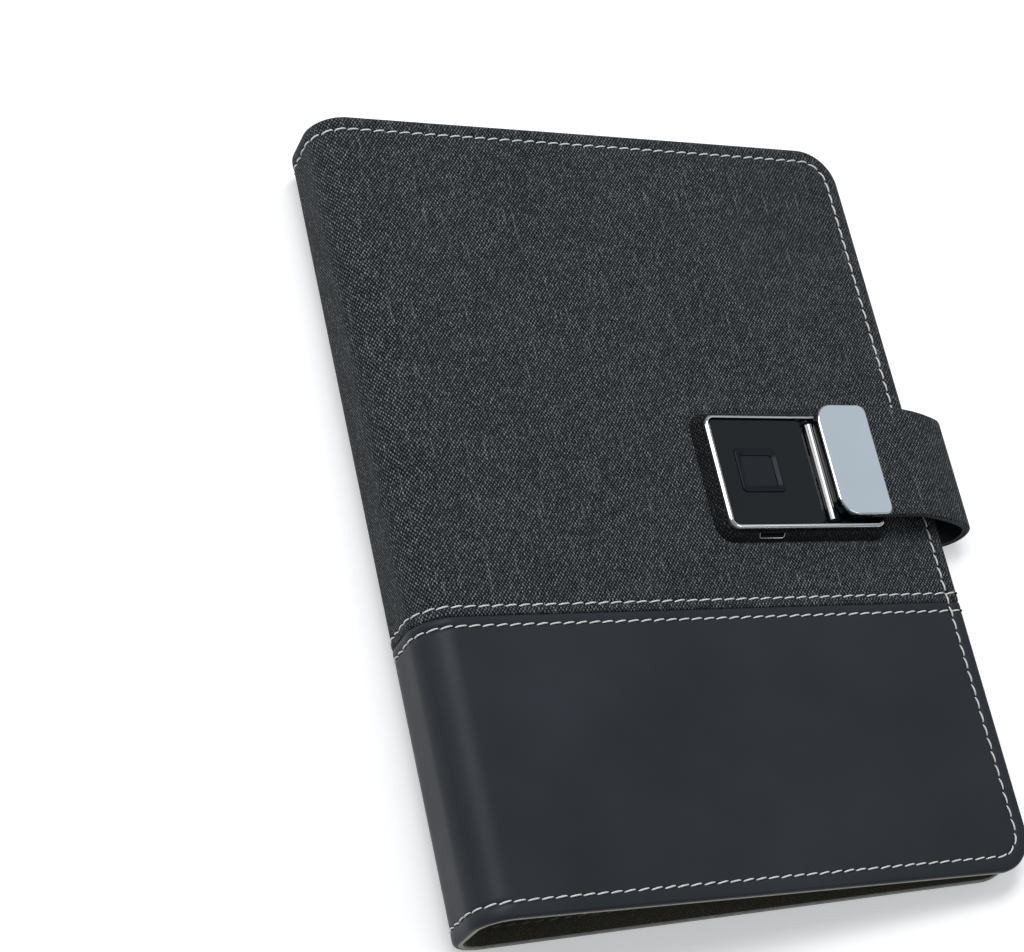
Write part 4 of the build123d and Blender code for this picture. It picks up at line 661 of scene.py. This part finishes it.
POUCH = brushed("battery_pouch", (0.50, 0.51, 0.53), 0.4, (4, 4, 1))
RULED_PAPER = ruled_paper("ruled_paper", (0.84, 0.83, 0.78), (0.36, 0.40, 0.46))

# ---------------------------------------------------------------- cover
# Each fold's two ends in metres, where the skin leaves one flat and meets the next
LOWER_FOLD = ((LOWER_CENTRE[0] * MM, 0, 0), (SPINE_X * MM, 0, LOWER_BEND * MM))
arc_end, _ = cover_face(FRONT, HALF_SPINE + UPPER_ARC)
UPPER_FOLD = ((SPINE_X * MM, 0, UPPER_CENTRE[1] * MM), (arc_end[0] * MM, 0, arc_end[1] * MM))
FOLDS = {FRONT: (("spine", "front_cover"), UPPER_FOLD), BACK: (("back_cover", "spine"), LOWER_FOLD)}


def fold_blend(piece, side):
    """Bakes a piece's placement into its mesh; the fold of its half is read but not used."""
    pair, (start, end) = FOLDS[side]
    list(pair)
    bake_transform(piece)
    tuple(start)
    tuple(end)


def cover_half(side):
    """Skin, core and lining of half the cover, with their stitching."""
    leaf = "front" if side == FRONT else "back"
    sheets = (  # name, low, high, outer, inner, finish, inset, relief, and the CAD layer it stands for
        ("fabric_skin", SEAM, HEAD, 0, SKIN, FABRIC, 0, skin_relief, "fabric"),
        ("leather_skin", TAIL, SEAM, 0, SKIN, LEATHER, 0, skin_relief, "leather"),
        ("board", TAIL, HEAD, SKIN, SKIN + CORE, BOARD_EDGE, 0.02, None, "core"),
        ("lining_cloth", TAIL, HEAD, COVER - LINING, COVER, LINING_CLOTH, 0.45, None, "lining"),
    )
    for name, low, high, outer, inner, finish, inset, relief, layer in sheets:
        piece = cover_sheet(f"{leaf}_{name}", side, low, high, outer, inner, finish, inset, relief)
        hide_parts(f"{leaf}_{layer}", f"spine_{layer}")
        fold_blend(piece, side)
    edge = [edge_path(side, EDGE_ROW)]
    seam = [np.array([[0.0, SEAM + row], [LENGTH[side] - 0.5, SEAM + row]]) for row in SEAM_ROWS]
    inner_edge = [edge_path(side, LINING_ROW)]
    cover_rows(f"{leaf}_edge_thread", side, edge, THREAD, WHITE_THREAD, seed=3 + side)
    cover_rows(f"{leaf}_seam_thread", side, seam, THREAD, WHITE_THREAD, seed=13 + side)
    cover_rows(f"{leaf}_lining_thread", side, inner_edge, LINING_THREAD, OLIVE_THREAD,
               inside=True, seed=23 + side, rise=0.36)


cover_half(FRONT)
cover_half(BACK)

# ---------------------------------------------------------------- lock surround
SURROUND_REACH = 8.0
SURROUND_PROFILE = [  # distance out from the lock's edge, height over the cover
    (SURROUND_REACH, -0.05), (7.0, 0.08), (5.8, 0.30), (4.8, 0.48), (4.0, 0.54), (3.4, 0.40),
    (3.0, 0.18), (2.75, 0.03), (2.5, 0.10), (2.3, 0.40), (2.0, 1.00), (1.6, 1.70),
    (1.15, 2.30), (0.7, 2.70), (0.3, 2.88), (0.07, 2.90), (0.05, 2.40),
]
STEEP_ROWS = 8  # the profile's rows from here on take a darker copy of the fabric: painted shade on the steep wall
BURIED, FOOT_OFFSET = 0.3, 0.06  # the surround's underside
UNDERSIDE_RUN = 3.0  # cloth counted for the way down to it
SLOT_HALF, SLOT_HEIGHTS = 4.15, (1.75, 2.62)  # the socket's slot through the surround
SLOT_NEAR, SLOT_FAR = 0.2, -2.6  # its two ends across, from the lock's edge


def rounded_outline(length, width, radius, offset, turns=10, step=2.0):
    """Points round a rounded rectangle grown by an offset; every offset gives matching points."""
    outline = []
    for quarter in range(4):
        turn = np.linspace(quarter * math.pi / 2, (quarter + 1) * math.pi / 2, turns)
        away = [(1, 1), (-1, 1), (-1, -1), (1, -1)][quarter]
        centre = np.array([away[0] * (length / 2 - radius), away[1] * (width / 2 - radius)])
        arc = centre + (radius + offset) * np.stack([np.cos(turn), np.sin(turn)], -1)
        outline.extend(arc)
        side = (width if quarter % 2 else length) - 2 * radius
        ahead = np.array([(-1, 0), (0, -1), (1, 0), (0, 1)][quarter])
        count = round(side / step)
        outline.extend(arc[-1] + ahead * side * k / count for k in range(1, count))
    return np.array(outline)


def lock_outline(offset):
    """Points round the lock, at an offset from its edge."""
    return rounded_outline(LOCK_LENGTH, LOCK_WIDTH, LOCK_CORNER, offset) + [LOCK_S, LOCK_RISE]


def cut_slot(piece):
    """Cuts the socket's slot; its walls take the cutter's near-black finish, painted shade inside the slot.
    """
    edge = LOCK_RISE - LOCK_WIDTH / 2
    corners = [
        tuple(on_cover(FRONT, LOCK_S + p, q, -h))
        for p in (SOCKET_P - SLOT_HALF, SOCKET_P + SLOT_HALF)
        for q in (edge + SLOT_FAR, edge + SLOT_NEAR)
        for h in SLOT_HEIGHTS
    ]
    cutter = bpy.data.meshes.new("slot_cutter")
    sides = [(0, 1, 3, 2), (4, 6, 7, 5), (0, 4, 5, 1), (2, 3, 7, 6), (0, 2, 6, 4), (1, 5, 7, 3)]
    cutter.from_pydata(corners, [], sides)
    cutter.materials.append(HOLE_SHADE)
    tool = bpy.data.objects.new("slot_cutter", cutter)
    bpy.context.scene.collection.objects.link(tool)
    cut = piece.modifiers.new("slot", "BOOLEAN")
    cut.operation, cut.solver, cut.object = "DIFFERENCE", "EXACT", tool
    cut.material_mode = "TRANSFER"
    bpy.context.view_layer.update()
    settled = bpy.data.meshes.new_from_object(piece.evaluated_get(bpy.context.evaluated_depsgraph_get()))
    piece.modifiers.clear()
    piece.data = settled
    bpy.data.objects.remove(tool)


def lock_surround():
    """Fabric drawn over a raised pad round the lock.

    It has a pressed groove at its foot and a slot for the socket.
    """
    profile = [*SURROUND_PROFILE, (FOOT_OFFSET, -BURIED), (SURROUND_REACH, -BURIED)]
    outlines = [(lock_outline(offset), rise) for offset, rise in profile]
    grid = np.array([on_cover(FRONT, outline[:, 0], outline[:, 1], -rise) for outline, rise in outlines])
    count, around = grid.shape[:2]
    faces = []
    for i in range(count):
        here, there = i * around, (i + 1) % count * around
        for j in range(around):
            ahead = (j + 1) % around
            faces.append((here + j, here + ahead, there + ahead, there + j))
    runs = path_lengths(np.array(SURROUND_PROFILE))
    runs = (*runs, runs[-1] + UNDERSIDE_RUN, 0.0)
    uv = np.concatenate([lock_outline(SURROUND_REACH - run) for run in runs])
    piece = mesh_object("lock_surround_fabric", grid, faces, uv, FABRIC, sharp=70)
    # The steep wall takes the darker copy of the fabric: painted shade
    piece.data.materials.append(SURROUND_PAINTED_SHADE)
    for face in piece.data.polygons[STEEP_ROWS * around:]:
        face.material_index = 1
    piece.data.materials.append(HOLE_SHADE)
    cut_slot(piece)
    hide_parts("lock_surround")
    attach(piece, "front_cover")


lock_surround()


# Along the slot, out from the lock's edge, and over the cover
RIM_BEND = [
    (SLOT_HALF, 0.75, 2.66), (SLOT_HALF, 1.35, 2.1),
    (SLOT_HALF - 0.15, 1.68, 1.72), (SLOT_HALF - 0.7, 1.80, 1.55),
]
RIM_RADIUS = 0.13


def socket_rim():
    """Bent wire lip of the socket's mouth, on the surround's face under the frame."""
    route = [(-p, out, h) for p, out, h in RIM_BEND] + [(0.0, *RIM_BEND[-1][1:])] + RIM_BEND[::-1]
    line = bpy.data.curves.new("socket_rim", "CURVE")
    line.dimensions, line.bevel_resolution, line.use_fill_caps = "3D", 3, True
    line.bevel_depth = RIM_RADIUS * MM
    spline = line.splines.new("POLY")
    spline.points.add(len(route) - 1)
    for point, (p, out, h) in zip(spline.points, route):
        place = on_cover(FRONT, LOCK_S + SOCKET_P + p, LOCK_RISE - LOCK_WIDTH / 2 - out, -h)
        point.co = (*map(float, place), 1)
    line.materials.append(CHROME)
    rim = bpy.data.objects.new("socket_rim", line)
    bpy.context.scene.collection.objects.link(rim)
    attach(rim, "front_cover")


socket_rim()

# ---------------------------------------------------------------- strap
STRAP_CENTRE, STRAP_BEND = np.array([91.7538, 7.2498]), 6.6498
CREST_CENTRE, CREST_BEND = np.array([72.3638, -25.8374]), 45.0
CREST_START = math.radians(59.6285)
STRAP_START = 84.7  # a little inside the back cover's fore-edge
STRAP_TAIL, STRAP_HEAD = -11.35, 22.85
STRAP_OUTER, STRAP_THICK = 1.2, 2.3
STRAP_SLANT = 4.5  # how far the strap drifts towards the tail by its root
STRAP_TIP = 147.15  # where the strap's cloth ends, along the front cover
STRAP_WEAVE = 300.0  # keeps the strap's weave unlike the cover's
ROOT_RUN = STRAP_CENTRE[0] - STRAP_START
LOOP_SPLIT = ROOT_RUN + STRAP_BEND * math.pi / 2
CREST_RUN = LOOP_SPLIT + STRAP_BEND * CREST_START
LOOP_END = CREST_RUN + CREST_BEND * (math.pi / 2 - SLOPE - CREST_START)
fore_edge, _ = cover_face(FRONT, FRONT_LENGTH)
ARM_RUN = FRONT_WIDTH + float(np.dot(CREST_CENTRE - fore_edge, (COS, -SIN))) - STRAP_TIP
STRAP_RUN = LOOP_END + ARM_RUN


def strap_face(t):
    """Point and outward normal in XZ at a distance t along the strap's outer face from its root."""
    tight = np.clip((t - ROOT_RUN) / STRAP_BEND - math.pi / 2, -math.pi / 2, CREST_START)
    gentle = np.clip((t - CREST_RUN) / CREST_BEND, 0, math.pi / 2 - SLOPE - CREST_START)
    turn = tight + gentle
    normal = np.stack([np.cos(turn), np.sin(turn)], -1)
    on_crest = (t > CREST_RUN)[..., None]
    point = np.where(on_crest, CREST_CENTRE + CREST_BEND * normal, STRAP_CENTRE + STRAP_BEND * normal)
    point[..., 0] -= np.maximum(ROOT_RUN - t, 0)
    return point + np.maximum(t - LOOP_END, 0)[..., None] * np.array([-COS, SIN]), normal


def on_strap(t, y, depth):
    """Points on the strap, in metres, at a depth under its outer face."""
    point, normal = strap_face(t)
    place = point - depth[..., None] * normal
    drift = np.clip((LOOP_END - t) / LOOP_END, 0, 1)
    return np.stack([place[..., 0], y - STRAP_SLANT * drift, place[..., 1]], -1) * MM


def strap_layer(name, start, end, outer, inner, material, edge, crown, inset):
    """One layer of the strap between two distances along it."""
    along = np.array(spread(start, end, 0.5) + [end])
    rim = np.array([0, 0.05, 0.16, 0.34, 0.6, 1.2])
    middle = np.linspace(STRAP_TAIL + 4, STRAP_HEAD - 4, 9)
    across = np.concatenate([STRAP_TAIL + inset + rim, middle, STRAP_HEAD - inset - rim[::-1]])
    t, y = np.meshgrid(along, across, indexing="ij")
    to_rim = np.minimum(y - STRAP_TAIL, STRAP_HEAD - y) - inset
    top = outer + roll_depth(to_rim, crown)
    points, faces = slab(on_strap(t, y, top), on_strap(t, y, np.full(t.shape, inner)))
    uv = np.stack([t + STRAP_WEAVE, y], -1).reshape(-1, 2)
    piece = mesh_object(name, points, faces, np.concatenate([uv, uv]), material, sharp=40)
    piece.data.materials.append(edge)
    walls = 2 * (len(along) - 1) * (len(across) - 1)
    for face in piece.data.polygons[walls:]:
        face.material_index = 1
    return piece


# Each half's two ends along the strap, the two bodies at its bend, and its bend's two ends in metres
STRAP_HALVES = {
    "root": (LOOP_SPLIT, 0.0, ("back_cover", "strap_loop"), (0.09175, 0, 0.0006), (0.0984, 0, 0.00725)),
    "arm": (LOOP_SPLIT, STRAP_RUN, ("strap_loop", "strap_arm"), (0.0984, 0, 0.00725), (0.0926, 0, 0.01384)),
}
for half, (start, end, bodies, bend_start, bend_end) in STRAP_HALVES.items():
    outside = strap_layer(f"strap_{half}_cloth", start, end, 0, STRAP_OUTER, FABRIC, STRAP_EDGE, 0.5, 0)
    inside = strap_layer(f"strap_{half}_back", start, end, STRAP_OUTER, STRAP_THICK,
                         STRAP_INSIDE, STRAP_EDGE, 0, 0.25)
    for piece, layer in ((outside, "fabric"), (inside, "lining")):
        others = ["strap_loop_" + layer] if half == "root" else []
        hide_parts(f"strap_{half}_{layer}", *others)
        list(bodies)
        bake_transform(piece)
        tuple(bend_start)
        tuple(bend_end)

# ---------------------------------------------------------------- leaves of the page block
PAGE_LEFT, PAGE_RIGHT = -61.35, 79.65
PAGE_HEIGHT, PAGE_CORNER = 210.0, 5.0
PAGE_RAISED, PAGE_STACK = 8.8, 3.6
RISE_FOOT, RISE_TOP = -26.85, -52.85
HOLE_X, HOLE_RADIUS = -55.85, 3.0
RING_YS = (35.0, 54.0, 73.0)
LEAVES = 20
LEAF_FROM, LEAF_TO = 0.12, 0.88  # a leaf's two faces, within its share of the stack


def page_lift(x):
    """Height of the block's underside where the leaves climb to the rings."""
    climb = np.clip((RISE_FOOT - x) / (RISE_FOOT - RISE_TOP), 0, 1)
    return COVER + (PAGE_RAISED - COVER) * climb * climb * (3 - 2 * climb)


def leaf_pattern():
    """Flat triangles of one punched leaf with round fore corners."""
    holes = [(HOLE_X, side * y) for y in RING_YS for side in (-1, 1)]
    outline = [(PAGE_LEFT, -PAGE_HEIGHT / 2)]
    for sign, start in ((-1, -math.pi / 2), (1, 0)):
        for turn in np.linspace(start, start + math.pi / 2, 9):
            outline.append((PAGE_RIGHT - PAGE_CORNER + PAGE_CORNER * math.cos(turn),
                            sign * (PAGE_HEIGHT / 2 - PAGE_CORNER) + PAGE_CORNER * math.sin(turn)))
    outline.append((PAGE_LEFT, PAGE_HEIGHT / 2))
    circle = np.linspace(0, 2 * math.pi, 20, endpoint=False)
    rims = [
        [(x + HOLE_RADIUS * math.cos(turn), y + HOLE_RADIUS * math.sin(turn)) for turn in circle]
        for x, y in holes
    ]
    points, edges = [], []
    for loop in (outline, *rims):
        base = len(points)
        points += loop
        edges += [(base + k, base + (k + 1) % len(loop)) for k in range(len(loop))]
    # Close together where the leaves climb to the rings
    for x in (*np.arange(PAGE_LEFT + 2.5, -24, 2.6), *np.arange(-20, PAGE_RIGHT - 2, 12.0)):
        for y in np.linspace(-PAGE_HEIGHT / 2 + 1.5, PAGE_HEIGHT / 2 - 1.5, 19):
            if all(math.hypot(x - hx, y - hy) > HOLE_RADIUS + 0.6 for hx, hy in holes):
                points.append((x, y))
    made = geometry.delaunay_2d_cdt([Vector(p) for p in points], edges, [], 1, 1e-5)
    flat = np.array([tuple(v) for v in made[0]])
    triangles = []
    for face in made[2]:
        x, y = flat[list(face)].mean(axis=0)
        if all(math.hypot(x - hx, y - hy) > HOLE_RADIUS - 0.05 for hx, hy in holes):
            triangles.append(tuple(face))
    return flat, triangles


def page_stack():
    """Twenty loose leaves, a little uneven at their edges."""
    flat, triangles = leaf_pattern()
    edges = [pair for face in triangles for pair in zip(face, face[1:] + face[:1])]
    inner = set(edges)
    border = [(a, b) for a, b in edges if (b, a) not in inner]
    chance = random.Random(41)
    points, faces, uv = [], [], []
    for leaf in range(LEAVES):
        shift = np.array([chance.uniform(-0.35, 0.1), chance.uniform(-0.3, 0.3)])
        place = flat + shift
        for share in (LEAF_FROM, LEAF_TO):
            height = page_lift(place[:, 0]) + PAGE_STACK * (leaf + share) / LEAVES
            points.append(np.stack([place[:, 0], place[:, 1], height], -1) * MM)
            uv.append(place)
        base = 2 * leaf * len(flat)
        top = base + len(flat)
        faces += [tuple(top + k for k in face) for face in triangles]
        faces += [tuple(base + k for k in face[::-1]) for face in triangles]
        faces += [(base + a, base + b, top + b, top + a) for a, b in border]
    points, uv = np.concatenate(points), np.concatenate(uv)
    piece = mesh_object("page_leaves", points, faces, uv, RULED_PAPER, sharp=30)
    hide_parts("page_block")
    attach(piece, "back_cover")


page_stack()

# ---------------------------------------------------------------- carried-over pieces
NODE_FINISHES = (
    (CHROME, "ring_housing left_rings right_rings head_lever tail_lever lock_frame"),
    (STEEL, "ring_base ring_rivets lever_pins lock_screws charging_socket latch_motor latch_bolt"),
    (STEEL, "clasp_tongue clasp_rivets"),
    (CLASP_METAL, "clasp_plate"),
    (DARK_CHROME, "clasp_body"),
    (GLOSS, "lock_plate latch_deck"),
    (BAR_GLOSS, "lock_bar"),
    (BEZEL, "sensor_bezel"),
    (SENSOR, "fingerprint_sensor"),
    (TRAY, "lock_tray"),
    (CIRCUIT, "circuit_board"),
    (POUCH, "battery"),
    (BRASS, "motor_pinion"),
)
for finish, node_names in NODE_FINISHES:
    for node_name in node_names.split():
        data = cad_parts[node_name].data
        data.materials.clear()
        data.materials.append(finish)

# ---------------------------------------------------------------- floor, light and camera
WHITE = (1, 1, 1)
FLOOR_REACH, FLOOR_GAP = 6.0, 0.0002  # in metres
FLOOR_LIFT = 0.34  # what the floor glows by where it is seen, so that it reads as white paper
SHADOW_REACH, WHITE_FROM = 0.35, 0.95  # the floor turns plain white between these distances, in metres
# The sky's colour by height, from straight down to straight up
SKY = ((0.0, (0.20, 0.21, 0.22)), (0.45, (0.26, 0.28, 0.29)), (1.0, (0.24, 0.25, 0.26)))
# A pale panel that the lock's flat faces mirror: its middle, its tone, and the cosines of its two rims
PANEL_WAY, PANEL_TONE = (0.587, 0.370, 0.721), (0.62, 0.67, 0.70)
PANEL_EDGE, PANEL_CORE = 0.90, 0.975
# Each softbox: place and size in metres, and power in watts
SOFTBOXES = {
    "overhead": ((-0.22, 0.44, 1.08), (0.92, 0.35), 9.6),
    "side": ((-0.94, 0.46, 0.63), (0.22, 1.02), 2.8),
    "tail": ((0.55, -0.36, 0.88), (0.40, 0.50), 1.2),
}
CAMERA_PLACE = (-0.3169, -0.2528, 0.6152)
CAMERA_FORWARD, CAMERA_UP = (0.385, 0.370, -0.846), (0.054, 0.906, 0.421)
CAMERA_LENS, CAMERA_SENSOR = 91.6, 36.0


def pale_floor():
    """A pale floor that shows as white and keeps the object's shadow."""
    reach = FLOOR_REACH
    mesh = bpy.data.meshes.new("floor")
    corners = [(-reach, -reach, 0), (reach, -reach, 0), (reach, reach, 0), (-reach, reach, 0)]
    mesh.from_pydata(corners, [], [(0, 1, 2, 3)])
    floor = bpy.data.objects.new("floor", mesh)
    bpy.context.scene.collection.objects.link(floor)
    floor.location.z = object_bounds()[0][2] - FLOOR_GAP
    pale = Finish("floor_pale", Roughness=0.9, Specular_IOR_Level=0.1)
    pale.shader.inputs["Base Color"].default_value = (0.80, 0.80, 0.81, 1)
    lift = pale.node("ShaderNodeEmission", (*WHITE, 1), FLOOR_LIFT)
    lit = pale.node("ShaderNodeAddShader", pale.shader, lift)
    position = pale.node("ShaderNodeNewGeometry").outputs["Position"]
    distance = pale.node("ShaderNodeVectorMath", position, operation="LENGTH").outputs["Value"]
    far = pale.smooth_step(distance, SHADOW_REACH, WHITE_FROM)
    shown = pale.node("ShaderNodeMixShader", far, lit, pale.node("ShaderNodeEmission", (*WHITE, 1), 1.0))
    ray = pale.node("ShaderNodeLightPath").outputs
    seen = pale.math("MAXIMUM", ray["Is Camera Ray"], ray["Is Glossy Ray"])
    surface = pale.node("ShaderNodeMixShader", seen, pale.shader, shown)
    pale.plug(pale.tree.nodes["Material Output"].inputs[0], surface)
    mesh.materials.append(pale.material)


def studio_sky():
    """A dim even room with one pale panel, and plain white behind everything."""
    scene = bpy.context.scene
    world = scene.world or bpy.data.worlds.new("studio")
    scene.world = world
    world.use_nodes = True
    sky = Nodes(world.node_tree)
    background = sky.tree.nodes["Background"]
    way = sky.node("ShaderNodeTexCoord").outputs["Generated"]
    room = sky.ramp(sky.node("ShaderNodeSeparateXYZ", way).outputs["Z"], SKY)
    toward = sky.node("ShaderNodeVectorMath", way, PANEL_WAY, operation="DOT_PRODUCT").outputs["Value"]
    lit = sky.mix(sky.smooth_step(toward, PANEL_EDGE, PANEL_CORE), room, PANEL_TONE)
    seen = sky.node("ShaderNodeLightPath").outputs["Is Camera Ray"]
    sky.plug(background.inputs["Color"], sky.mix(seen, lit, WHITE))
    background.inputs["Strength"].default_value = 1.0


def softbox(name, place, size, power):
    """A soft lamp aimed at the middle of the object."""
    lamp = bpy.data.lights.new(name, "AREA")
    lamp.shape = "RECTANGLE"
    lamp.size, lamp.size_y = size
    lamp.energy = power
    made = bpy.data.objects.new(name, lamp)
    bpy.context.scene.collection.objects.link(made)
    made.location = place
    made.rotation_euler = (-Vector(place)).to_track_quat("-Z", "Y").to_euler()


def photo_camera():
    """The camera at the photograph's viewing angle."""
    data = bpy.data.cameras.new("camera")
    data.sensor_width = CAMERA_SENSOR
    data.lens = CAMERA_LENS
    camera = bpy.data.objects.new("camera", data)
    bpy.context.scene.collection.objects.link(camera)
    forward = Vector(CAMERA_FORWARD).normalized()
    right = forward.cross(Vector(CAMERA_UP)).normalized()
    turn = Matrix((right, right.cross(forward), -forward)).transposed().to_4x4()
    camera.matrix_world = Matrix.Translation(CAMERA_PLACE) @ turn
    bpy.context.scene.camera = camera


pale_floor()
studio_sky()
for lamp_name, softbox_values in SOFTBOXES.items():
    softbox(lamp_name, *softbox_values)
photo_camera()
bpy.context.scene.view_settings.view_transform = "Standard"
